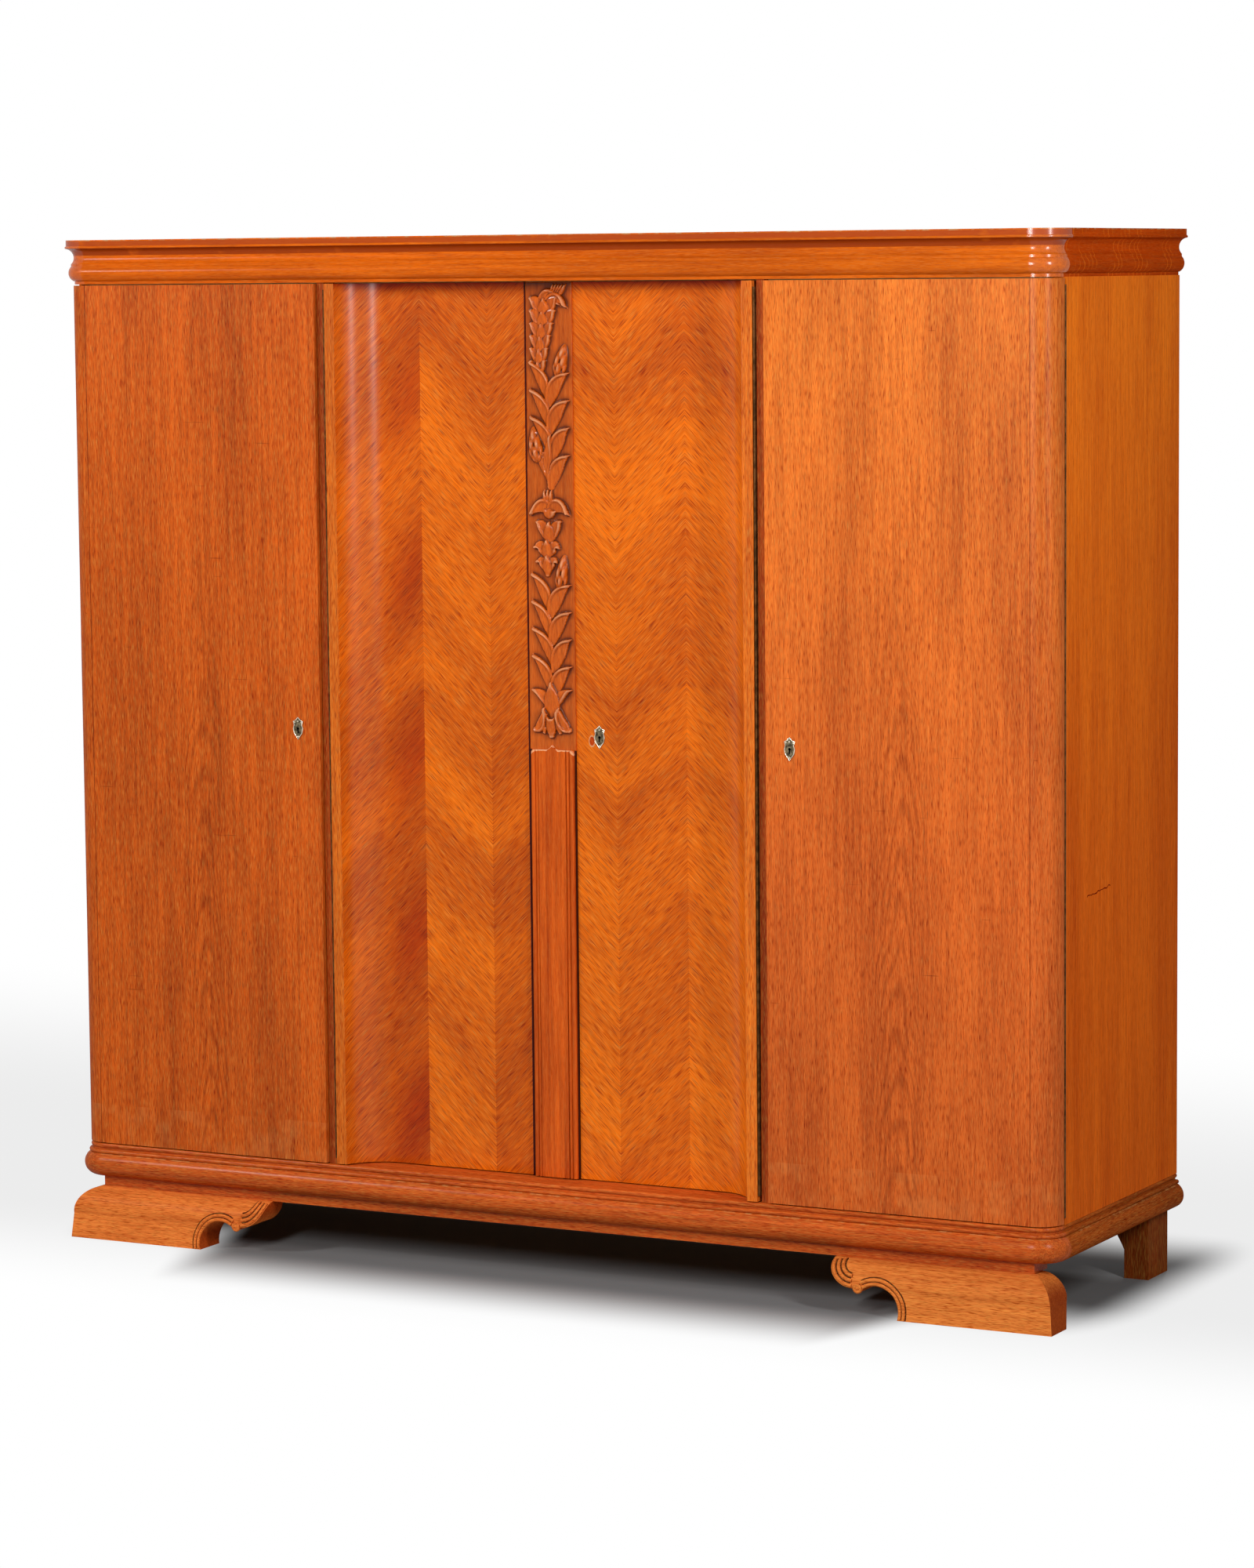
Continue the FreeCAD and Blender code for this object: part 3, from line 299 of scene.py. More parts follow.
def worn_crest(tree, place):
    """The top edge of the pilaster, a peak between two shoulders."""
    z = add(tree, "ShaderNodeSeparateXYZ", {}, {0: place}).outputs["Z"]
    aside = sideways(tree, place)
    peak = add(tree, "ShaderNodeMapRange", {}, {
        "Value": aside, "From Min": 0.0, "From Max": 11 * MM, "To Min": peak_height, "To Max": 0.0})
    drop = add(tree, "ShaderNodeMapRange", {}, {
        "Value": aside, "From Min": 33 * MM, "From Max": 41 * MM, "To Max": -6 * MM})
    edge = add(tree, "ShaderNodeMath", "ADD", {0: peak, 1: drop})
    ragged = add(tree, "ShaderNodeTexNoise", {}, {"Vector": place, "Scale": 1 / (7 * MM), "Detail": 2})
    rise = add(tree, "ShaderNodeMath", "SUBTRACT", {0: z, 1: shoulder})
    depth = add(tree, "ShaderNodeMath", "SUBTRACT", {0: edge, 1: rise})
    reach = add(tree, "ShaderNodeMath", "MULTIPLY", {0: ragged, 1: 4.6 * MM})
    return add(tree, "ShaderNodeMath", "LESS_THAN", {0: depth, 1: reach})


def scuffs(tree, place):
    """Short level scratches from use."""
    level = add(tree, "ShaderNodeMapping", {}, {"Vector": place, "Rotation": ALONG_X})
    lines = grain_layer(tree, level, (5, 90), 2, 2.5)
    return add(tree, "ShaderNodeMapRange", {}, {
        "Value": lines, "From Min": 0.74, "From Max": 0.8, "To Max": 0.5})


def scratch(tree, place):
    """One old scratch on the right side, filled dark by the polish."""
    along = add(tree, "ShaderNodeMapping", {"vector_type": "TEXTURE"}, {
        "Vector": place, "Location": scratch_start, "Rotation": (math.radians(4.5), 0, 0)})
    wobble = add(tree, "ShaderNodeTexNoise", {}, {"Vector": along, "Scale": 1 / (22 * MM), "Detail": 1})
    parts = add(tree, "ShaderNodeSeparateXYZ", {}, {0: along})
    bent = add(tree, "ShaderNodeMath", "MULTIPLY_ADD", {0: wobble, 1: scratch_bend, 2: parts.outputs["Z"]})
    on_line = add(tree, "ShaderNodeMath", "COMPARE", {0: bent, 1: scratch_bend / 2, 2: 0.9 * MM})
    within = add(tree, "ShaderNodeMath", "COMPARE", {
        0: parts.outputs["Y"], 1: scratch_length / 2, 2: scratch_length / 2})
    at_side = add(tree, "ShaderNodeMath", "COMPARE", {0: parts.outputs["X"], 1: 0, 2: 5 * MM})
    here = add(tree, "ShaderNodeMath", "MULTIPLY", {0: on_line, 1: within})
    return add(tree, "ShaderNodeMath", "MULTIPLY", {0: here, 1: at_side})


print("pilaster is worn above", round(shoulder, 4), "m")

# %% [markdown]
# ## Stain and painted shade
# The sides and the right door are darker low down, and the cornice is darker at its right end: painted
# shade, where less light falls. The slab of the cornice is darker wood, and the hollow under its lip has a
# painted shadow. The corner beside the pilaster has painted shade, and the keyholes are painted dark inside
# as shade.
# A second material for every board could show this. A tint that grows along one direction does it with three
# nodes, and the board keeps its grain.

# %% Stain and painted shade
keyhole_z = 925 * MM
keyhole_radius = 7 * MM
pilaster_half = 40.5 * MM
strip_middle_y = (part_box("meeting_strip")[0].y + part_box("meeting_strip")[1].y) / 2


def along_axis(tree, place, axis, start, end, at_start=0.0, at_end=1.0):
    """A value that changes evenly from one place along an axis to another."""
    value = add(tree, "ShaderNodeSeparateXYZ", {}, {0: place}).outputs[axis]
    return add(tree, "ShaderNodeMapRange", {}, {
        "Value": value, "From Min": start, "From Max": end, "To Min": at_start, "To Max": at_end})


# Painted shade: darker low down, where less light falls.
low_down = partial(along_axis, axis="Z", start=750 * MM, end=1600 * MM, at_start=1.0, at_end=0.0)
# A ramp along X; on the cornice it paints shade towards the right end.
to_the_right = partial(along_axis, axis="X", start=-700 * MM, end=700 * MM)
slab_edge = partial(rubbed_band, low=1760.4 * MM, high=1769 * MM, amount=0.8, patch=60, start=0.2)
# Painted shadow in the hollow under the lip of the cornice's slab; the band above it is darker wood.
slab_lip_shadow = partial(rubbed_band, low=1744 * MM, high=1756.5 * MM, amount=0.85, patch=60, start=0.2)


def painted_quirk_shade(tree, place):
    """Painted shade in the narrow corner on both sides of the pilaster, in front only."""
    parts = add(tree, "ShaderNodeSeparateXYZ", {}, {0: place})
    beside = add(tree, "ShaderNodeMath", "GREATER_THAN", {0: sideways(tree, place), 1: pilaster_half})
    below = add(tree, "ShaderNodeMath", "LESS_THAN", {0: parts.outputs["Z"], 1: shoulder})
    front_half = add(tree, "ShaderNodeMath", "LESS_THAN", {0: parts.outputs["Y"], 1: strip_middle_y})
    corner = add(tree, "ShaderNodeMath", "MULTIPLY", {0: beside, 1: below})
    return add(tree, "ShaderNodeMath", "MULTIPLY", {0: corner, 1: front_half})


def keyhole(tree, place, at):
    """The walls of a keyhole at a distance from the middle, painted as shade; the key plate hides the rest.
    """
    mirrored = add(tree, "ShaderNodeVectorMath", "ABSOLUTE", {0: place})
    level = add(tree, "ShaderNodeVectorMath", "MULTIPLY", {0: mirrored, 1: (1, 0, 1)})
    apart = add(tree, "ShaderNodeVectorMath", "DISTANCE", {0: level, 1: (at, 0, keyhole_z)})
    return add(tree, "ShaderNodeMath", "LESS_THAN", {0: apart.outputs["Value"], 1: keyhole_radius})


outer_hole = partial(keyhole, at=471.5 * MM)
centre_hole = partial(keyhole, at=88 * MM)
print("keyholes at", keyhole_z, "m over the floor")

# %% [markdown]
# ## The woods of this wardrobe
# One tree gives them all. The outer doors have a plain vertical veneer, the sides a yellower one, the frame
# and mouldings a redder solid oak, and the feet a golden one that keeps a plainer finish. Each could have a
# tree of its own, but other numbers in the same one keep them a family.
# Every CAD node gets its material by name, so that no board is left in its grey CAD finish.

# %% Oak materials
# Painted shade for the inside of the keyholes.
KEYHOLE_SHADE = colour("120A06")
# Painted shade low down on the sides and the right door.
painted_shade_low = (low_down, MULTIPLY_RGB, (0.9, 0.74, 0.86, 1))
chips = (chipped_edge, MIX_RGB, colour("B98A58"))
worn_groove = (worn_quirk, MIX_RGB, colour("CC8E54"))
door_marks = [(cathedral, MULTIPLY_RGB, colour("8A4420")), (scuffs, MULTIPLY_RGB, colour("7A3A20")),
              (faded_foot, MIX_RGB, colour("E09450")), (staff, MULTIPLY_RGB, (0.98, 1.0, 1.05, 1)),
              (glue_line, MULTIPLY_RGB, colour("8C5A3C")), (outer_hole, MIX_RGB, KEYHOLE_SHADE)]
# Painted shade darkens the cornice towards its right end.
cornice_marks = [(to_the_right, MULTIPLY_RGB, (0.84, 0.91, 1.3, 1)), (slab_edge, MIX_RGB, colour("A03E18")),
                 (slab_lip_shadow, MIX_RGB, colour("8A320A")), chips]
# Painted light: the right door's copy has lighter tones than the left's, for the stronger light on it.
door_oak = {"left": oak("oak veneer of the left door", "DA6018", "A4400E", ALONG_Z, marks=door_marks),
            "right": oak("oak veneer of the right door", "EA7A2A", "B8561C", ALONG_Z, shift=2,
                         marks=[painted_shade_low, *door_marks])}
side_oak = oak("oak veneer of the sides", "FF841E", "DC6416", ALONG_Z, bands=(60, 900), shift=3, pores=0.5,
               shine=0.02, marks=[painted_shade_low, (scratch, MULTIPLY_RGB, colour("8A3A28"))])
upright_oak = oak("solid oak of the uprights", "DA5E1A", "A83E0C", ALONG_Z, shift=7,
                  marks=[(centre_hole, MIX_RGB, KEYHOLE_SHADE)])
strip_oak = oak("solid oak of the meeting strip", "DA5E1A", "A83E0C", ALONG_Z, shift=7,
                marks=[(painted_quirk_shade, MIX_RGB, colour("3C1206"))])
pilaster_oak = oak("solid oak of the pilaster", "DC6018", "A83E0C", ALONG_Z, bands=(16, 700), shift=6,
                   pores=0.4, haze=0.25, marks=[(worn_crest, MIX_RGB, colour("E8A070"))])
stile_oak = oak("solid oak of the stiles", "B84A14", "882E0C", ALONG_Z, shift=9)
# Painted light: the right hanging edge has lighter tones than the left, for the light that falls on it.
lipping_oak = {"left": oak("solid oak of the left hanging edge", "DA6C1C", "AA4614", ALONG_Z, shift=8),
               "right": oak("solid oak of the right hanging edge", "F07C22", "B44E18", ALONG_Z, shift=10)}
cornice_oak = oak("solid oak of the cornice", "E66A0A", "B84C08", ALONG_X, shift=11, pores=0.45, haze=0.2,
                  marks=cornice_marks, gleam=corner_gleam)
cornice_end_oak = oak("solid oak of the cornice ends", "D04C06", "A83A05", ALONG_Y, shift=13, pores=0.35,
                      shine=0.02, marks=[(ray_flecks, MIX_RGB, colour("E8761C")), chips])
plinth_oak = oak("solid oak of the plinth", "DC6422", "A44012", ALONG_X, shift=17, haze=0.25,
                 marks=[worn_groove])
plinth_end_oak = oak("solid oak of the plinth ends", "C86020", "944012", ALONG_Y, shift=19, shine=0.03,
                     marks=[worn_groove])
# Painted light: the left foot has lighter tones than the right, for the stronger light on it.
foot_tones = {"left": ("FF8F40", "D26629"), "right": ("EE8A3E", "C26228")}
foot_oak = {word: oak(f"solid oak of the {word} front foot", *tones, ALONG_X, shift=23, gloss=0.42,
                      shine=0.04, marks=[(end_grain, MULTIPLY_RGB, colour("BC8466"))])
            for word, tones in foot_tones.items()}
rear_foot_oak = oak("stained oak of the rear feet", "8E3E14", "662E10", ALONG_Z, shift=29, shine=0.03)

wood_of = {"cornice_front": cornice_oak, "plinth_front": plinth_oak, "apron": plinth_oak,
           "meeting_strip": strip_oak, "pilaster": pilaster_oak, "back_rails": plinth_oak}
for word, side in SIDES:
    wood_of[f"door_{word}"] = door_oak[word]
    wood_of[f"centre_panel_{word}"] = upright_oak
    wood_of[f"side_{word}"] = side_oak
    wood_of[f"stile_{word}"] = stile_oak
    wood_of[f"lipping_{word}"] = lipping_oak[word]
    wood_of[f"cornice_side_{word}"] = cornice_end_oak
    wood_of[f"plinth_side_{word}"] = plinth_end_oak
    wood_of[f"front_foot_{word}"] = foot_oak[word]
    wood_of[f"rear_foot_{word}"] = rear_foot_oak
print(len(wood_of), "boards in oak")

# %% [markdown]
# ## The inside and the hardware
# Inside, such a wardrobe usually has plain boards without lacquer, plywood at the back, and a turned rail.
# The key plates are cast brass with a worn nickel plating, bright on the rims and dull in the hollows. The
# locks are iron, the hinges browned steel.
# The inner woods could have nodes of their own. They reuse those of the oak, with other colours, a rougher
# finish and hardly any pores, because that is all that differs.


# %% Inner woods and metals
def metal(name, bright, dull, roughness, spot):
    """Metal with darker tarnish in spots of the given size in millimetres."""
    material, tree = new_material(name)
    place = add(tree, "ShaderNodeTexCoord").outputs["Object"]
    spots = add(tree, "ShaderNodeTexNoise", {}, {"Vector": place, "Scale": 1 / (spot * MM), "Detail": 4})
    amount = add(tree, "ShaderNodeMapRange", {}, {
        "Value": spots, "From Min": 0.4, "From Max": 0.62})
    tarnish = add(tree, "ShaderNodeMix", MIX_RGB, {0: amount, FIRST: colour(bright), SECOND: colour(dull)})
    dents = add(tree, "ShaderNodeBump", {}, {
        "Height": spots, "Strength": 0.25, "Distance": 0.3 * MM})
    shader = add(tree, "ShaderNodeBsdfPrincipled", {}, {
        "Base Color": tarnish.outputs[MIXED], "Metallic": 1.0, "Roughness": roughness, "Normal": dents})
    add(tree, "ShaderNodeOutputMaterial", {}, {"Surface": shader})
    return material


raw = {"gloss": 0.6, "shine": 0.03}
board_wood = oak("unlacquered spruce boards", "C9A06A", "AD8350", ALONG_X, shift=31, pores=0.15, **raw)
divider_wood = oak("unlacquered spruce uprights", "C49A64", "A87C4A", ALONG_Z, shift=33, pores=0.15, **raw)
back_plywood = oak("plywood of the back", "CC9460", "AE784A", ALONG_Z, shift=37, pores=0.2, **raw)
top_plywood = oak("plywood of the top", "CC9460", "AE784A", ALONG_X, shift=39, pores=0.2, **raw)
rail_wood = oak("turned beech rail", "C08A54", "A87240", ALONG_X, shift=41, pores=0.1, **raw)
dull_nickel = metal("dull nickel plating on brass", "746850", "3A3226", 0.42, 5)
bright_nickel = metal("rubbed nickel plating on brass", "E2D8C6", "B4A892", 0.25, 5)
iron = metal("blackened lock iron", "4A443E", "26221F", 0.5, 8)
steel = metal("browned hinge steel", "5E3C20", "382412", 0.6, 10)

for name in ("carcass_floor", "carcass_top", "shelves", "hat_shelves", "shelf_battens", "rail_cleats"):
    wood_of[name] = board_wood
for name in ("divider_left", "divider_right"):
    wood_of[name] = divider_wood
wood_of["back_panels"] = back_plywood
wood_of["cornice_board"] = top_plywood
wood_of["hanging_rails"] = rail_wood
metal_of = {"key_plate": dull_nickel, "lock_case": iron, "slide_guides": iron, "hinge": steel,
            "lock_bolt": steel, "slide_bolt": steel}
for name, node in nodes.items():
    material = wood_of.get(name)
    if material is None:
        material = next(finish for start, finish in metal_of.items() if name.startswith(start))
    node.data.materials.clear()
    node.data.materials.append(material)
print("finished", len(nodes), "nodes")

# %% [markdown]
# ## A new piece of the wardrobe
# The veneer, the carving and the small hardware are pieces that the CAD parts leave out. Each could be made
# round its own middle and then moved. Here it is a mesh in the wardrobe's own coordinates and its object
# stays at the origin, so that a pattern on Object coordinates cannot slide. It rides on the body that carries
# it.


# %% Entering pieces
def enter(name, mesh, body):
    """Put a finished mesh on a body of the wardrobe."""
    piece = bpy.data.objects.new(name, mesh)
    bpy.context.scene.collection.objects.link(piece)
    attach(piece, body)
    return piece


def smooth_mesh(name, corners, faces, material):
    """A mesh with smooth shading and one finish."""
    mesh = bpy.data.meshes.new(name)
    mesh.from_pydata(corners, [], faces)
    mesh.materials.append(material)
    mesh.polygons.foreach_set("use_smooth", [True] * len(mesh.polygons))
    mesh.update()
    return mesh


print("ready to enter pieces")

# %% [markdown]
# ## Chevron veneer of the centre doors
# Each centre door is covered by three leaves of veneer. Their grain lies at 44 degrees and turns back at
# every seam, as in book-matched sheets. A leaf follows the flat of the door and then the cove. A pattern on
# Object coordinates would be stretched in the cove, so each leaf is a sheet of faces with a UV map: one
# direction across the grain and one along it, measured on the unrolled door. The door comes first.

# %% Measures of a centre door
door_bottom, door_top = (corner.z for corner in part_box("centre_panel_right"))
face_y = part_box("centre_panel_right")[0].y
panel_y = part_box("key_plate_centre")[1].y
arris_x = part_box("centre_panel_right")[1].x
lock_z = (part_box("key_plate_centre")[0].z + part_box("key_plate_centre")[1].z) / 2
key_x = (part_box("key_plate_centre")[0].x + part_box("key_plate_centre")[1].x) / 2
cove_run = 76 * MM
cove_depth = panel_y - face_y
flat_x = arris_x - cove_run
cove_radius = (cove_run ** 2 + cove_depth ** 2) / (2 * cove_depth)
cove_y = panel_y - cove_radius
cove_end = flat_x + cove_radius * math.asin(cove_run / cove_radius)
seams = (121 * MM, 253 * MM)
print("the unrolled door is", round(cove_end / MM), "mm wide from the middle")

# %% [markdown]
# ## Finish of the chevrons
# Wood fibres gleam when light runs across them, so leaves that lean one way look darker than their
# neighbours, most of all low down. One leaf of the left door is wavy, so its gleam comes and goes in bands.
# A shader with a direction could do this, but it is hard to steer. Here the gleam is painted shade: every
# leaf carries its tone as an attribute, worked out for each corner of the sheet, with a painted shadow of
# the cornice along its top. The cove keeps more lacquer, because no hand rubs it.

# %% Finish of the chevrons
shade_place = seams[1] + 20 * MM
shade_width = 62 * MM
ripple_length = 310 * MM
ripple_start = 126 * MM
scar_middle = (73 * MM, 0, 921 * MM)
scar_width, scar_height = 6 * MM, 10 * MM
meeting_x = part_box("centre_panel_left")[1].x


def painted_shade_at(distance, z, leans_right, dark_low, dark_cove):
    """Painted shade at a place, for fibre gleam and the cornice's shadow: 0 as it is, 1 fully darkened."""
    high = (z - door_bottom) / (door_top - door_bottom)
    outward = max(distance - flat_x, 0) / (cove_end - flat_x)
    leaning = 0.1 + dark_low * (1 - 0.6 * high) if leans_right else 0.22 * high
    ripple = 1 + 0.9 * math.sin(2 * math.pi * (z + 0.9 * distance - ripple_start) / ripple_length)
    near_seam = math.exp(-((distance - shade_place) / shade_width) ** 2)
    shade = dark_cove * ripple * near_seam if leans_right else 0
    # Painted shadow of the cornice on the top row of the veneer.
    cornice_shadow = 0.9 if z == door_top else 0
    return leaning * (1 - 0.7 * outward) + shade + cornice_shadow


def painted_leaf_shade(tree, place):
    """The painted shade that a leaf carries."""
    return add(tree, "ShaderNodeAttribute", {"attribute_name": "tone"}).outputs["Fac"]


def from_scar(tree, place):
    """Distance from the middle of the scar beside the key plate; 1 is its edge."""
    apart = add(tree, "ShaderNodeVectorMath", "SUBTRACT", {0: place, 1: scar_middle})
    scaled = add(tree, "ShaderNodeVectorMath", "MULTIPLY", {
        0: apart, 1: (1 / scar_width, 0, 1 / scar_height)})
    return add(tree, "ShaderNodeVectorMath", "LENGTH", {0: scaled}).outputs["Value"]


def scar_inside(tree, place):
    """Darker wood inside the scar."""
    return add(tree, "ShaderNodeMath", "LESS_THAN", {0: from_scar(tree, place), 1: 0.8})


def scar_outline(tree, place):
    """Pale outline of the scar."""
    return add(tree, "ShaderNodeMath", "COMPARE", {0: from_scar(tree, place), 1: 0.9, 2: 0.14})


def meeting_gap_shade(tree, place):
    """Painted shade of the gap along the edge of the left door, where the two doors meet."""
    x = add(tree, "ShaderNodeSeparateXYZ", {}, {0: place}).outputs["X"]
    return add(tree, "ShaderNodeMath", "COMPARE", {0: x, 1: meeting_x, 2: 2.4 * MM})


cove_gleam = partial(along_axis, axis="Y", start=panel_y - 14 * MM, end=panel_y - 1 * MM,
                     at_start=0.6, at_end=0.26)
# The leaves' tone and the line at the meeting gap are painted shade; the scar is a real mark.
leaf_marks = [(painted_leaf_shade, MULTIPLY_RGB, colour("B87850")), (scar_inside, MULTIPLY_RGB, colour("D8A088")),
              (scar_outline, MIX_RGB, colour("D08C5C")), (meeting_gap_shade, MULTIPLY_RGB, colour("582424"))]
chevron_oak = oak("oak veneer laid in chevrons", "F07606", "BE4E03", ALONG_Y, bands=(120, 700), figure=1.3,
                  pores=1.2, haze=0.28, uv=True, marks=leaf_marks, gleam=cove_gleam, dash=(1.2, 26))
print("chevron veneer is darkest", round(shade_place / MM), "mm from the middle")

# %% [markdown]
# ## Leaves of the chevron veneer
# Real veneer is a thin sheet pressed on the bent door. A grid of corners that follows the door, given a
# little thickness, is the same thing. Folding the distance from the middle at the seams turns the grain
# there without any cut in the figure. The leaf behind the key plate is left open, so that the keyhole
# shows.

# %% Leaves of veneer
grain_angle = math.radians(44)
lift = 0.25 * MM
key_room = 6 * MM
# Depth of the painted shadow of the cornice at the top of each leaf.
cornice_shadow_depth = 16 * MM
column_width = 4 * MM
row_height = 40 * MM
tones_of = {"left": (0.3, 0.3), "right": (0.16, 0.04)}


def on_door(distance):
    """X and Y of the veneer's face at a distance from the middle along the unrolled door."""
    turn = max(distance - flat_x, 0) / cove_radius
    if turn == 0:
        return distance, panel_y - lift
    return flat_x + (cove_radius - lift) * math.sin(turn), cove_y + (cove_radius - lift) * math.cos(turn)


def folded(distance):
    """The distance from the middle, turned back at both seams."""
    first, second = seams
    return max(first - abs(distance - first), distance - 2 * (second - first))


def veneer_leaf(number, word, side, start, end, leans_right):
    """One leaf between two seams, left open behind the key plate."""
    across = set(np.linspace(start, end, 2 + int((end - start) / column_width)))
    if side > 0 and start < key_x < end:
        across |= {key_x - key_room, key_x + key_room}
    across = sorted(across)
    key_low, key_high = lock_z - 2 * key_room, lock_z + key_room
    up = {door_bottom, key_low, key_high, door_top - cornice_shadow_depth, door_top}
    up = sorted(up | set(np.arange(door_bottom + row_height, door_top - row_height, row_height)))
    corners = []
    pattern = []
    tones = []
    for distance in across:
        x, y = on_door(distance)
        fold = folded(distance)
        for z in up:
            corners.append((side * x, y, z))
            tones.append(painted_shade_at(distance, z, leans_right, *tones_of[word]))
            pattern.append((z * math.cos(grain_angle) + fold * math.sin(grain_angle),
                            fold * math.cos(grain_angle) - z * math.sin(grain_angle) + 2 * side))
    faces = []
    for column in range(len(across) - 1):
        middle = (across[column] + across[column + 1]) / 2
        for row in range(len(up) - 1):
            if side > 0 and key_low <= up[row] < key_high and abs(middle - key_x) < key_room:
                continue
            low = column * len(up) + row
            face = (low, low + len(up), low + len(up) + 1, low + 1)
            faces.append(face if side > 0 else face[::-1])
    name = f"veneer_{word}_{number}"
    mesh = smooth_mesh(name, corners, faces, chevron_oak)
    layer = mesh.uv_layers.new(name="grain")
    for loop in mesh.loops:
        layer.data[loop.index].uv = pattern[loop.vertex_index]
    mesh.attributes.new("tone", "FLOAT", "POINT").data.foreach_set("value", tones)
    sheet = bmesh.new()
    sheet.from_mesh(mesh)
    bmesh.ops.solidify(sheet, geom=sheet.faces[:], thickness=2 * lift)
    sheet.to_mesh(mesh)
    sheet.free()
    mesh.set_sharp_from_angle(angle=math.radians(40))
    return enter(name, mesh, f"centre_{word}_door")


inner_edge = {"left": -meeting_x, "right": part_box("centre_panel_right")[0].x}
for word, side in SIDES:
    edges = (inner_edge[word], *seams, cove_end)
    for number in (1, 2, 3):
        leaf = veneer_leaf(number, word, side, edges[number - 1], edges[number],
                           leans_right=(number == 2) == (side > 0))
depth = [corner.co.y / MM for corner in leaf.data.vertices]
print("six veneer leaves, the last from y", round(min(depth), 2), "to", round(max(depth), 2), "mm")

# %% [markdown]
# ## Carving on the meeting strip
# The upper half of the strip is carved in low relief: leaves that climb a stem in pairs, each scooped out
# under a raised lip, with buds and bell flowers between them. A relief has one height at every place, so it
# is worked out as a height map, blade by blade, and then made a grid of faces. It could be sculpted by hand,
# but a map made of a few kinds of form can be changed by its numbers.

# %% Height map of the carving
strip_low, strip_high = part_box("meeting_strip")
edge_room = 0.6
half_strip = strip_high.x / MM - edge_room
carving_height = (strip_high.z - shoulder) / MM - edge_room
GRID = 0.9
DEEPER = 1.6
lip_radius = 2.8
across_mm = np.linspace(-half_strip, half_strip, int(2 * half_strip / GRID))
up_mm = np.linspace(0, carving_height, int(carving_height / GRID))
place_x, place_t = np.meshgrid(across_mm, up_mm)
relief = np.zeros_like(place_x)


def blade(base, bend, tip, width, rise, scoop=0):
    """Leaf or petal along a bent line; scoop 1 or -1 rolls its left or right edge to a lip."""
    global relief
    base, bend, tip = (np.array(point, float) for point in (base, bend, tip))
    along = np.linspace(0, 1, 33)[:, None]
    line = (1 - along) ** 2 * base + 2 * along * (1 - along) * bend + along ** 2 * tip
    heading = np.gradient(line, axis=0)
    heading /= np.linalg.norm(heading, axis=1)[:, None]
    apart_x = place_x[..., None] - line[:, 0]
    apart_t = place_t[..., None] - line[:, 1]
    nearest = np.argmin(apart_x ** 2 + apart_t ** 2, axis=2)[..., None]
    near_x = np.take_along_axis(apart_x, nearest, 2)[..., 0]
    near_t = np.take_along_axis(apart_t, nearest, 2)[..., 0]
    nearest = nearest[..., 0]
    to_left = heading[nearest, 0] * near_t - heading[nearest, 1] * near_x
    part = along[:, 0][nearest]
    half = width / 2 * np.sin(np.pi * (0.14 + 0.86 * part) ** 0.9) + 0.01
    to_side = np.clip(to_left / half, -1.2, 1.2)
    inside = np.hypot(near_x, near_t) <= np.maximum(half, 0.5)
    dome = np.sqrt(np.clip(1 - to_side ** 2, 0, 1))
    if scoop:
        from_edge = (1 - scoop * to_side) * half / lip_radius
        lip = np.sqrt(np.clip(1 - (from_edge - 1) ** 2, 0, 1))
        form = 0.38 + 0.24 * dome + (0.26 + 0.3 * part) * lip
    else:
        form = 0.3 + 0.7 * dome
    height = DEEPER * rise * (0.4 + 0.6 * part) * form
    relief = np.where(inside, np.maximum(height, 0.25 * relief), relief)


def bud(middle, width, length, lean, rise):
    """Egg-shaped bud covered in small facets."""
    global relief
    turn = math.radians(lean)
    apart_x = place_x - middle[0]
    apart_t = place_t - middle[1]
    side_x = (apart_x * math.cos(turn) + apart_t * math.sin(turn)) / (width / 2)
    side_t = (apart_t * math.cos(turn) - apart_x * math.sin(turn)) / (length / 2)
    narrowing = 1 - 0.35 * np.clip(side_t, -1, 1)
    inside = 1 - (side_x / narrowing) ** 2 - side_t ** 2
    facets = np.abs(np.sin(3.2 * (side_x + side_t))) + np.abs(np.sin(3.2 * (side_x - side_t)))
    height = DEEPER * rise * np.sqrt(np.clip(inside, 0, 1)) * (0.4 + 0.36 * facets)
    relief = np.where(inside > 0, np.maximum(height, 0.25 * relief), relief)


def four_around(heights):
    """The sum of the four heights next to each place."""
    padded = np.pad(heights, 1, mode="edge")
    return padded[:-2, 1:-1] + padded[2:, 1:-1] + padded[1:-1, :-2] + padded[1:-1, 2:]


print("height map of", *relief.shape, "places")

# %% [markdown]
# ## Leaves, buds and bell flower
# A carver leaves the nearest leaves standing and cuts the others back behind them. Here each form is laid
# over those before it, from the top of the strip to its foot, so a lower leaf covers the root of the one
# above. Every form could be listed on its own; groups that return are functions of their place instead.
# Lengths are millimetres from the middle of the strip and from the foot of the carving.


# %% Carving from top to bottom
def leaf_pairs(start, count):
    """Pairs of leaves that climb the stem; the lower ones overlap the upper ones."""
    for step in range(count - 1, -1, -1):
        foot = start + 46 * step
        stem = 3 * math.sin(step * 1.7)
        blade((stem - 2, foot + 8), (stem - 8, foot + 44), (-37, foot + 66), 21, 6.5, -1)
        blade((stem + 2, foot - 6), (stem + 10, foot + 34), (38, foot + 46), 25, 7.0, 1)


def cup(middle, low, spread, high, rise, droop=0):
    """Cup of three pointed petals; with a droop its outer tips hang down again."""
    for turn in (-1, 1):
        blade((middle, low), (middle + 0.55 * turn * spread, low + high),
              (middle + turn * spread, low + high - droop), 0.8 * spread, rise, -turn)
    blade((middle, low - 2), (middle, low + 0.5 * high), (middle, low + high), 0.9 * spread, rise)


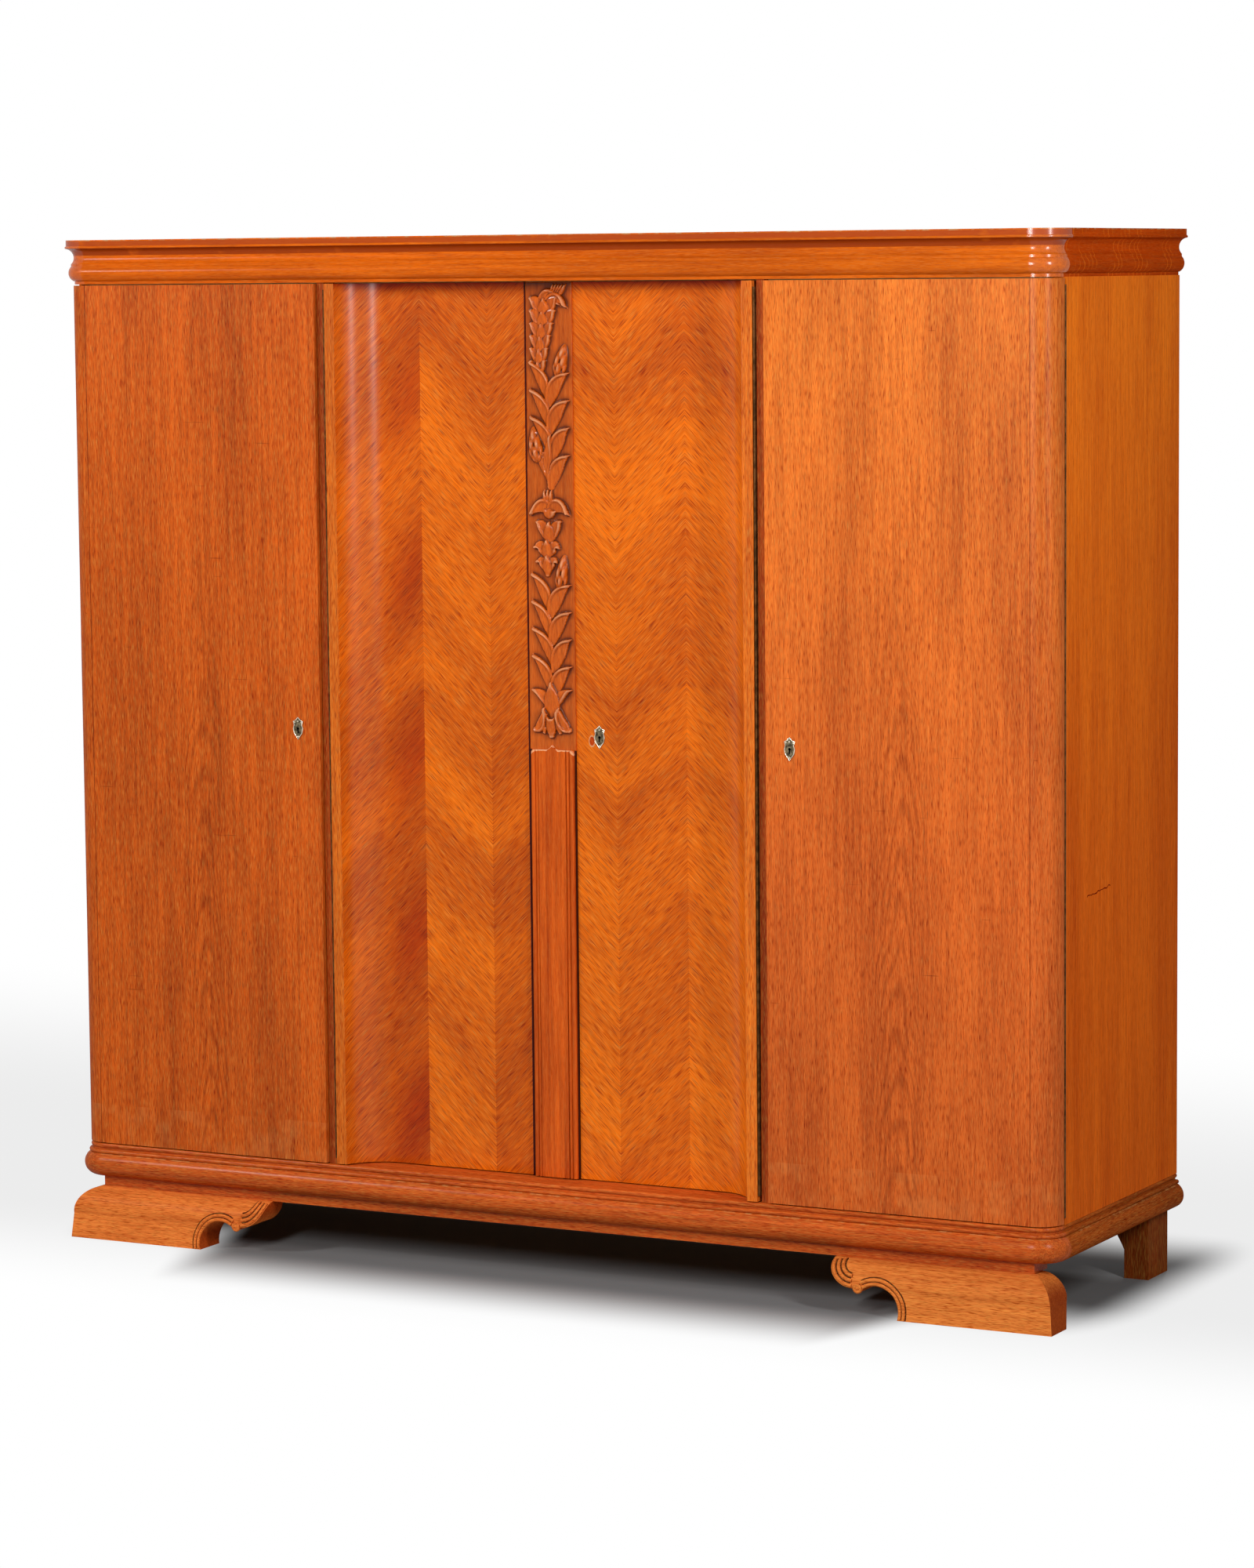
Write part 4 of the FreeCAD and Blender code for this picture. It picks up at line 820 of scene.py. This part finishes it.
def bell_flower():
    """Hanging bell at the foot of the carving: five long petals under a cup of leaves."""
    for turn in (-1, 1):
        blade((15 * turn, 30), (11 * turn, 46), (6 * turn, 76), 12, 8.0)
        blade((32 * turn, 34), (15 * turn, 38), (11 * turn, 80), 18, 10.0, turn)
    blade((-1, 25), (-1, 48), (0, 80), 20, 11.0)
    for turn in (-1, 1):
        blade((3 * turn, 70), (12 * turn, 96), (38 * turn, 102), 18, 6.5, -turn)
    blade((0, 60), (0, 84), (0, 116), 30, 7.5)


for tooth in range(5):
    blade((4 + 3 * tooth, 760), (8 + 5 * tooth, 774), (10 + 6 * tooth, 784), 8, 5.0)
blade((-14, 748), (0, 780), (24, 748), 26, 7.0, 1)
blade((-4, 756), (18, 772), (36, 744), 18, 7.5, 1)
for tier in range(5, -1, -1):
    cup(-20 + 2.4 * tier, 624 + 21 * tier, 15 + 2.4 * tier, 32, 5.5)
bud((24, 656), 24, 58, -14, 7.5)
leaf_pairs(452, 4)
bud((-27, 516), 25, 62, 8, 7.5)
blade((-4, 470), (-6, 500), (4, 534), 17, 6.0, -1)
for tooth in (-1, 0, 1):
    blade((4 * tooth - 4, 408), (5 * tooth - 4, 424), (7 * tooth - 4, 440), 8, 5.0)
for turn in (-1, 1):
    blade((-2, 406), (turn * 14, 424), (turn * 38, 396), 24, 7.5, turn)
blade((-10, 404), (0, 396), (12, 404), 18, 6.0)
cup(-2, 352, 24, 34, 6.0)
cup(-6, 326, 24, 30, 6.5, 16)
cup(-6, 300, 20, 30, 6.5, 14)
bud((22, 300), 22, 62, -8, 7.5)
leaf_pairs(96, 4)
bell_flower()
relief = 0.5 * relief + 0.125 * four_around(relief)
print("carving rises", round(float(relief.max()), 1), "mm from its ground")

# %% [markdown]
# ## Carved slab
# The carving looks like one piece of wood with the strip. A plane pushed out by the map would look the same,
# but it would be open behind. So the map becomes a closed slab: the relief in front, a flat back inside the
# strip, and a rim round the edge. A second map tells ridges from hollows: lips are rubbed paler by hands
# and dusters and carry a painted highlight, while the hollows, the flat ground and the top under the
# cornice get painted shade.


# %% Carved slab
def hollows(heights, reach):
    """How far each place stands above the mean of its surroundings, in millimetres."""
    blurred = heights
    for step in range(reach):
        blurred = four_around(blurred) / 4
    return heights - blurred


def by_ridge(tree, place, start, full, amount):
    """Hollows or ridges of the carving, from the value where the mask starts to where it is full."""
    ridge = add(tree, "ShaderNodeAttribute", {"attribute_name": "ridge"}).outputs["Fac"]
    return add(tree, "ShaderNodeMapRange", {}, {
        "Value": ridge, "From Min": start, "From Max": full, "To Max": amount})


# Painted shade in the hollows; the lips are rubbed paler and carry a painted highlight.
painted_hollow_shade = partial(by_ridge, start=0.0, full=-1.7, amount=0.8)
lip_wear_and_highlight = partial(by_ridge, start=1.0, full=3.0, amount=0.5)
carving_marks = [(painted_hollow_shade, MULTIPLY_RGB, colour("401808")), (lip_wear_and_highlight, MIX_RGB, colour("E8AC7C"))]
carved_oak = oak("carved solid oak", "D66214", "A8460A", ALONG_Z, shift=7, gloss=0.4, pores=0.4, shine=0.3,
                 haze=0.12, marks=carving_marks)
rows, columns = relief.shape
front_y = strip_low.y - 0.1 * MM
back_y = strip_low.y + 1 * MM
corners = [(x * MM, front_y - height * MM, shoulder + t * MM)
           for x, t, height in zip(place_x.ravel(), place_t.ravel(), relief.ravel())]
faces = []
for row in range(rows - 1):
    for column in range(columns - 1):
        low = row * columns + column
        faces.append((low, low + 1, low + columns + 1, low + columns))
rim = list(range(columns))
rim += [row * columns + columns - 1 for row in range(1, rows)]
rim += [(rows - 1) * columns + column for column in range(columns - 2, -1, -1)]
rim += [row * columns for row in range(rows - 2, 0, -1)]
first_back = len(corners)
corners += [(corners[index][0], back_y, corners[index][2]) for index in rim]
for step, index in enumerate(rim):
    after = (step + 1) % len(rim)
    faces.append((index, first_back + step, first_back + after, rim[after]))
faces.append(tuple(range(first_back, len(corners))))
carving_mesh = smooth_mesh("carving", corners, faces, carved_oak)
ridge = np.zeros(len(corners), np.float32)
# Painted shade on the flat ground and under the cornice at the top of the carving.
ground = 0.4 * (relief < 0.2) + 1.6 * np.exp((place_t - carving_height) / 9)
ridge[:first_back] = (hollows(relief, 5) + 0.5 * hollows(relief, 60) - ground).ravel()
carving_mesh.attributes.new("ridge", "FLOAT", "POINT").data.foreach_set("value", ridge)
enter("carving", carving_mesh, "centre_right_door")
print("carving has", len(faces), "faces")

# %% [markdown]
# ## Reeds on the feet
# The inner end of each front foot is carved: three reeds follow the scroll, two run round the arch, and a
# small curl closes the knob between them. They could be sculpted, but they are lines on the face of the foot
# that all get the same round section, which is what Curve to Mesh does. The face leans and rounds over at the
# top, so every line takes its depth from the foot's own profile.


# %% A tree that rounds lines
def geometry_tree(name, sizes):
    """An empty Geometry Nodes tree with named sizes and a finish as its inputs."""
    tree = bpy.data.node_groups.new(name, "GeometryNodeTree")
    tree.interface.new_socket("Geometry", in_out="INPUT", socket_type="NodeSocketGeometry")
    for size in sizes:
        tree.interface.new_socket(size, in_out="INPUT", socket_type="NodeSocketFloat")
    tree.interface.new_socket("Finish", in_out="INPUT", socket_type="NodeSocketMaterial")
    tree.interface.new_socket("Geometry", in_out="OUTPUT", socket_type="NodeSocketGeometry")
    return tree


def grown(name, mesh, tree, sizes, body):
    """Run a tree on a mesh and enter the plain mesh that comes out."""
    source = bpy.data.objects.new(name + "_source", mesh)
    bpy.context.scene.collection.objects.link(source)
    modifier = source.modifiers.new("grow", "NODES")
    modifier.node_group = tree
    for socket in tree.interface.items_tree:
        if socket.in_out == "INPUT" and socket.name in sizes:
            modifier[socket.identifier] = sizes[socket.name]
    result = bpy.data.meshes.new_from_object(source.evaluated_get(bpy.context.evaluated_depsgraph_get()))
    result.name = name
    bpy.data.objects.remove(source)
    return enter(name, result, body)


reed_tree = geometry_tree("round section on lines", ["Radius"])
given = add(reed_tree, "NodeGroupInput")
lines = add(reed_tree, "GeometryNodeMeshToCurve", {}, {0: given.outputs["Geometry"]})
ring = add(reed_tree, "GeometryNodeCurvePrimitiveCircle", {}, {
    "Resolution": 12, "Radius": given.outputs["Radius"]})
tube = add(reed_tree, "GeometryNodeCurveToMesh", {}, {
    "Curve": lines, "Profile Curve": ring.outputs["Curve"], "Fill Caps": True})
rounded = add(reed_tree, "GeometryNodeSetShadeSmooth", {}, {0: tube})
plain = add(reed_tree, "GeometryNodeRealizeInstances", {}, {0: rounded})
done = add(reed_tree, "GeometryNodeSetMaterial", {}, {0: plain, "Material": given.outputs["Finish"]})
add(reed_tree, "NodeGroupOutput", {}, {0: done})
print("reed tree has", len(reed_tree.nodes), "nodes")

# %% [markdown]
# ## Lines of the reeds
# All lines are arcs round three middles: the scroll, the arch and the knob. They could be drawn one by one,
# but as arcs they stay parallel. Thin dark lines lie between them, old polish with painted shade for the
# grooves, and both feet mirror each other.

# %% Reeds of both feet
foot_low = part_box("front_foot_right")[0]
foot_lean = 4
scroll_middle = (592.3, 91.3)
arch_middle = (634.2, 11.7)
knob_middle = (601.5, 46.5)
shoulder_z = 43
shoulder_middle = (-241.9, 50.0)
shoulder_radius = 40.2
reed_radius = 3.3
groove_radius = 1.3


def foot_face(z):
    """Y of the front of a foot at a height, in millimetres."""
    if z < shoulder_z:
        return foot_low.y / MM + foot_lean * z / shoulder_z
    return shoulder_middle[0] - math.sqrt(shoulder_radius ** 2 - (z - shoulder_middle[1]) ** 2)


def arc_line(middle, radius, start, end, sunk=0.6):
    """Points of an arc on the foot's face, between two angles in degrees."""
    points = []
    for angle in np.radians(np.linspace(start, end, 25)):
        z = middle[1] + radius * math.sin(angle)
        points.append((middle[0] + radius * math.cos(angle), foot_face(z) + sunk, z))
    return points


reed_lines = [arc_line(scroll_middle, radius, 187, 268) for radius in (41, 33, 25)]
reed_lines += [arc_line(arch_middle, radius, -12, 122) for radius in (44.6, 51.5)]
reed_lines += [arc_line(knob_middle, 5.6, 60, 420), arc_line(knob_middle, 1.6, 0, 340)]
groove_lines = [arc_line(scroll_middle, radius, 187, 264, 0.2) for radius in (37, 29, 21)]
groove_lines += [arc_line(arch_middle, radius, -11, 118, 0.2) for radius in (48, 55.2)]
# Dark lines between the reeds: painted shade of grooves, and old polish in them.
groove_shade_and_polish = oak("old polish in the grooves", "5A2410", "3A160A", ALONG_X, shine=0.03)


def lay_lines(name, lines, side, radius, finish, body):
    """Round the lines, mirrored for the left side."""
    corners = []
    links = []
    for points in lines:
        first = len(corners)
        corners += [(side * x * MM, y * MM, z * MM) for x, y, z in points]
        links += [(index, index + 1) for index in range(first, len(corners) - 1)]
    mesh = bpy.data.meshes.new(name + "_lines")
    mesh.from_pydata(corners, links, [])
    return grown(name, mesh, reed_tree, {"Radius": radius * MM, "Finish": finish}, body)


for word, side in SIDES:
    lay_lines(f"foot_reeds_{word}", reed_lines, side, reed_radius, foot_oak[word], "carcass")
    lay_lines(f"foot_grooves_{word}", groove_lines, side, groove_radius, groove_shade_and_polish, "carcass")
print(len(reed_lines), "reeds on each foot")

# %% [markdown]
# ## Screws, nails and pins
# Small fasteners repeat by the dozen. Each could be an object of its own; instead one tree puts the same
# slotted head on every point of a mesh and turns it to the direction that the point carries. The heads show
# when the doors are open and from behind.

# %% A tree of slotted heads
head_tree = geometry_tree("slotted heads", ["Radius", "Rise"])
given = add(head_tree, "NodeGroupInput")
small = add(head_tree, "ShaderNodeMath", "MULTIPLY", {0: given.outputs["Radius"], 1: 0.72})
crown = add(head_tree, "GeometryNodeMeshCone", {}, {
    "Vertices": 16, "Radius Top": small, "Radius Bottom": given.outputs["Radius"],
    "Depth": given.outputs["Rise"]})
slot_width = add(head_tree, "ShaderNodeMath", "MULTIPLY", {0: given.outputs["Radius"], 1: 0.22})
slot_length = add(head_tree, "ShaderNodeMath", "MULTIPLY", {0: given.outputs["Radius"], 1: 1.3})
slot_depth = add(head_tree, "ShaderNodeMath", "MULTIPLY", {0: given.outputs["Rise"], 1: 1.02})
slot_size = add(head_tree, "ShaderNodeCombineXYZ", {}, {
    0: slot_length, 1: slot_width, 2: given.outputs["Rise"]})
slot_place = add(head_tree, "ShaderNodeCombineXYZ", {}, {2: slot_depth})
bar = add(head_tree, "GeometryNodeMeshCube", {}, {"Size": slot_size})
raised = add(head_tree, "GeometryNodeTransform", {}, {0: bar, "Translation": slot_place})
cut = add(head_tree, "GeometryNodeMeshBoolean", {"operation": "DIFFERENCE", "solver": "EXACT"}, {
    0: crown.outputs["Mesh"], 1: raised})
facing = add(head_tree, "GeometryNodeInputNamedAttribute", {"data_type": "FLOAT_VECTOR"}, {"Name": "facing"})
turned = add(head_tree, "FunctionNodeAlignRotationToVector", {"axis": "Z"}, {"Vector": facing})
placed = add(head_tree, "GeometryNodeInstanceOnPoints", {}, {
    "Points": given.outputs["Geometry"], "Instance": cut, "Rotation": turned})
plain = add(head_tree, "GeometryNodeRealizeInstances", {}, {0: placed})
done = add(head_tree, "GeometryNodeSetMaterial", {}, {0: plain, "Material": given.outputs["Finish"]})
add(head_tree, "NodeGroupOutput", {}, {0: done})


def heads(name, places, body, kind):
    """Heads of one kind at places given as ((x, y, z), facing) in millimetres."""
    radius, rise, finish, slot = kind
    mesh = bpy.data.meshes.new(name + "_points")
    mesh.from_pydata([[length * MM for length in place] for place, facing in places], [], [])
    directions = np.array([facing for place, facing in places], np.float32).ravel()
    mesh.attributes.new("facing", "FLOAT_VECTOR", "POINT").data.foreach_set("vector", directions)
    sizes = {"Radius": radius * MM, "Rise": rise * MM, "Finish": finish}
    return grown(name, mesh, head_tree, sizes, body)


print("head tree has", len(head_tree.nodes), "nodes")

# %% [markdown]
# ## Where the heads go
# Screws hold the hinges, the lock cases, the guides of the slide bolts and the cleats of the rails. Nails
# hold the back panels, and pins the key plates, whose rims are rubbed bright. Each row could be set by
# hand. Rows of heights and both sides in a loop keep the distances equal.

# %% Screws of hinges, locks and rails
TO_FRONT, TO_BACK = (0, -1, 0), (0, 1, 0)
SCREW = (2.4, 0.4, steel, "hinge_steel")
hinge_heights = np.linspace(200, 1662, 13)
case_heights = (lock_z / MM - 28, lock_z / MM + 28)
guide_heights = (217, 253, 1609, 1645)
outer_hinge_x, outer_fixed_y, outer_moving_y = 928, -211.1, -213.3
centre_hinge_y, centre_fixed_x, centre_moving_x = -242.5, 410.3, 408.1
outer_case_y, centre_case_y = -219.5, -163.5
outer_case_x, centre_case_x, guide_x = (434.5, 484.5), (62, 114), (-83.7, -67.3)
cleats = ((-397.5, 61, 1), (397.5, 61, -1), (450.5, 43.2, 1), (903, 43.2, -1))
cleat_height = 1346
on_carcass = []
for word, side in SIDES:
    outward = (side, 0, 0)
    inward = (-side, 0, 0)
    on_carcass += [((side * outer_hinge_x, outer_fixed_y, z), TO_FRONT) for z in hinge_heights]
    on_carcass += [((side * centre_fixed_x, centre_hinge_y, z), inward) for z in hinge_heights]
    outer_door = [((side * outer_hinge_x, outer_moving_y, z), TO_BACK) for z in hinge_heights]
    outer_door += [((side * x, outer_case_y, z), TO_BACK) for x in outer_case_x for z in case_heights]
    heads(f"{word}_door_screws", outer_door, f"{word}_door", SCREW)
    centre_door = [((side * centre_moving_x, centre_hinge_y, z), outward) for z in hinge_heights]
    columns, heights = (centre_case_x, case_heights) if side > 0 else (guide_x, guide_heights)
    centre_door += [((x, centre_case_y, z), TO_BACK) for x in columns for z in heights]
    heads(f"centre_{word}_door_screws", centre_door, f"centre_{word}_door", SCREW)
for x, y, facing in cleats:
    on_carcass += [((x, y + shift, cleat_height), (facing, 0, 0)) for shift in (-17, 17)]
heads("carcass_screws", on_carcass, "carcass", SCREW)
print(len(on_carcass), "screws on the carcass")

# %% Nails of the back, rims and pins of the key plates
NAIL = (2.6, 0.5, iron, "lock_iron")
PIN = (1.9, 0.9, bright_nickel, "aged_brass")
nail_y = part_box("back_panels")[1].y / MM
nail_rows = [((side * x, nail_y, z), TO_BACK) for word, side in SIDES for x in (905, 436, 412)
             for z in np.linspace(185, 1677, 14)]
nail_rows += [((x, nail_y, z), TO_BACK) for x in np.linspace(-860, 860, 16) for z in (178, 1684)]
heads("back_nails", nail_rows, "carcass", NAIL)
plate_places = {"left_door": (-471.5, -256.5), "right_door": (471.5, -256.5),
                "centre_right_door": (88, -198.5)}
half_rim = [(0, 19.2), (3.9, 14.8), (9.2, 12.4), (7.4, 6.4), (9.3, 0), (7.8, -8.2), (3.3, -13.8), (0, -19)]
rim = half_rim + [(-x, z) for x, z in half_rim[-2::-1]]
rim_radius = 0.8
pin_shifts = ((0, -14.2), (0, 12.4), (-7, 10.6), (7, 10.6))
for body, (x, y) in plate_places.items():
    loop = [(x + shift, y - 1.5, lock_z / MM + rise) for shift, rise in rim]
    lay_lines(f"{body}_plate_rim", [loop], 1, rim_radius, bright_nickel, body)
    pins = [((x + shift, y - 1.6, lock_z / MM + rise), TO_FRONT) for shift, rise in pin_shifts]
    heads(f"{body}_plate_pins", pins, body, PIN)
print(len(nail_rows), "nails in the back and", len(pins), "pins in each key plate")

# %% [markdown]
# ## Camera
# The camera stands to the right of the wardrobe and looks a little down, through a long lens. It could be
# set by eye. Here its place and turn were worked out from the wardrobe's own square corners in the picture,
# so that the edges run as they do there.

# %% Camera
IMAGE_HEIGHT = 2000
focal_pixels = 6134
camera_place = (3.886, -7.3145, 1.712)
yaw, pitch, roll = (math.radians(angle) for angle in (27.77, 6.11, 0.52))
ahead = Vector((-math.sin(yaw) * math.cos(pitch), math.cos(yaw) * math.cos(pitch), -math.sin(pitch)))
level = Vector((math.cos(yaw), math.sin(yaw), 0))
below = ahead.cross(level)
right = math.cos(roll) * level + math.sin(roll) * below
down = math.cos(roll) * below - math.sin(roll) * level
camera_data = bpy.data.cameras.new("camera")
camera_data.sensor_width = 36
camera_data.lens = camera_data.sensor_width * focal_pixels / IMAGE_HEIGHT
camera = bpy.data.objects.new("camera", camera_data)
camera_turn = Matrix((right, -down, -ahead)).transposed().to_4x4()
camera.matrix_world = Matrix.Translation(camera_place) @ camera_turn
bpy.context.scene.collection.objects.link(camera)
bpy.context.scene.camera = camera
print("lens", round(camera_data.lens, 1), "mm")

# %% [markdown]
# ## Lamps
# Three tall soft boxes stand in front, higher than the wardrobe. Two of them show as twin gleams on the
# round corner block at the right, the third as one gleam at the left, and all leave a soft shadow under the
# cornice. A fourth stands behind, so that the back can be seen too. A picture of a studio all round could
# light it as well, but lamps can be moved until each gleam lies where it should.

# %% Lamps
lamp_width = 0.3
aimed_at = Vector((0, 0, 1.2))


def soft_box(name, spot, tall, power):
    """A tall strip lamp at a place in metres, turned to the middle of the wardrobe."""
    lamp = bpy.data.lights.new(name, "AREA")
    lamp.shape = "RECTANGLE"
    lamp.size = lamp_width
    lamp.size_y = tall
    lamp.energy = power
    box = bpy.data.objects.new(name, lamp)
    aim = aimed_at - Vector(spot)
    box.matrix_world = Matrix.Translation(spot) @ aim.to_track_quat("-Z", "Y").to_matrix().to_4x4()
    bpy.context.scene.collection.objects.link(box)


soft_box("right soft box", (3.2, -1.7, 2.2), 1.2, 60)
soft_box("middle soft box", (0.42, -3.5, 2.1), 1.2, 72)
soft_box("left soft box", (-2.95, -3.0, 2.8), 0.6, 64)
soft_box("rear soft box", (0, 3.6, 3.2), 1.2, 60)
print(len(bpy.data.lights), "soft boxes")

# %% [markdown]
# ## Background
# The camera, and what mirrors or glass show it, sees pure white all round, while the light that the
# surroundings throw on the wood is weak. One strength could not do both, so the Light Path node, which knows
# what a ray is for, chooses between two.


# %% Background
def seen_directly(tree):
    """1 for rays from the camera, also by way of a mirror or glass, and 0 for light that reaches the wood."""
    path = add(tree, "ShaderNodeLightPath")
    direct = add(tree, "ShaderNodeMath", "MAXIMUM", {
        0: path.outputs["Is Camera Ray"], 1: path.outputs["Is Glossy Ray"]})
    return add(tree, "ShaderNodeMath", "MAXIMUM", {0: direct, 1: path.outputs["Is Transmission Ray"]})


WHITE = colour("FFFFFF")
world = bpy.data.worlds.new("studio")
world.use_nodes = True
bpy.context.scene.world = world
tree = world.node_tree
tree.nodes.clear()
around = add(tree, "ShaderNodeBackground", {}, {"Color": WHITE, "Strength": 0.09})
white = add(tree, "ShaderNodeBackground", {}, {"Color": WHITE, "Strength": 1.0})
both = add(tree, "ShaderNodeMixShader", {}, {0: seen_directly(tree), 1: around, 2: white})
add(tree, "ShaderNodeOutputWorld", {}, {0: both})
bpy.context.scene.view_settings.view_transform = "Standard"
print("background has", len(tree.nodes), "nodes")

# %% [markdown]
# ## Floor
# The floor is white. Close to the wardrobe it is lit as it is and takes the shadow; further out it goes
# over to the white that the camera sees all round. A floor that is only lit would end in a grey line at the
# horizon. The border follows the feet and lies closer where they stand. Behind and beside the wardrobe the
# white is a little grey, a painted soft shadow.

# %% Floor
SMOOTH = {"interpolation_type": "SMOOTHSTEP"}
border_width = 0.3
floor_finish, tree = new_material("white studio floor")
place = add(tree, "ShaderNodeTexCoord").outputs["Object"]
y = add(tree, "ShaderNodeSeparateXYZ", {}, {0: place}).outputs["Y"]
aside = sideways(tree, place)
at_feet = add(tree, "ShaderNodeMapRange", SMOOTH, {
    "Value": aside, "From Min": 0.6, "From Max": 0.74, "To Min": -0.25, "To Max": -0.02})
before = add(tree, "ShaderNodeMath", "SUBTRACT", {0: at_feet, 1: y})
beyond = add(tree, "ShaderNodeMath", "MULTIPLY_ADD", {0: aside, 1: 2.2, 2: -2.0})
behind = add(tree, "ShaderNodeMath", "SUBTRACT", {0: y, 1: 0.3})
outward = add(tree, "ShaderNodeCombineXYZ", {}, {0: beyond, 1: before, 2: behind})
outside = add(tree, "ShaderNodeVectorMath", "MAXIMUM", {0: outward, 1: (0, 0, 0)})
distance = add(tree, "ShaderNodeVectorMath", "LENGTH", {0: outside}).outputs["Value"]
far = add(tree, "ShaderNodeMapRange", SMOOTH, {"Value": distance, "From Min": 0.0, "From Max": border_width})
# Painted soft shadow on the floor behind and beside the wardrobe.
begins = add(tree, "ShaderNodeMapRange", SMOOTH, {"Value": y, "From Min": -0.7, "From Max": 0.0})
ends = add(tree, "ShaderNodeMapRange", SMOOTH, {
    "Value": y, "From Min": 0.8, "From Max": 2.6, "To Min": 0.16, "To Max": 0.0})
painted_floor_shadow = add(tree, "ShaderNodeMath", "MULTIPLY", {0: begins, 1: ends})
strength = add(tree, "ShaderNodeMath", "SUBTRACT", {0: 1.0, 1: painted_floor_shadow})
seen = seen_directly(tree)
amount = add(tree, "ShaderNodeMath", "MULTIPLY", {0: far, 1: seen})
tint = add(tree, "ShaderNodeMix", MIX_RGB, {0: seen, FIRST: colour("A8A8A8"), SECOND: colour("7C7C7C")})
paint = add(tree, "ShaderNodeBsdfDiffuse", {}, {"Color": tint.outputs[MIXED]})
glow = add(tree, "ShaderNodeEmission", {}, {"Color": WHITE, "Strength": strength})
both = add(tree, "ShaderNodeMixShader", {}, {0: amount, 1: paint, 2: glow})
add(tree, "ShaderNodeOutputMaterial", {}, {"Surface": both})
reach = 20
corners = [(-reach, -reach, 0), (reach, -reach, 0), (reach, reach, 0), (-reach, reach, 0)]
floor_mesh = smooth_mesh("floor", corners, [(0, 1, 2, 3)], floor_finish)
floor = bpy.data.objects.new("floor", floor_mesh)
bpy.context.scene.collection.objects.link(floor)
print("floor reaches", reach, "m to every side")
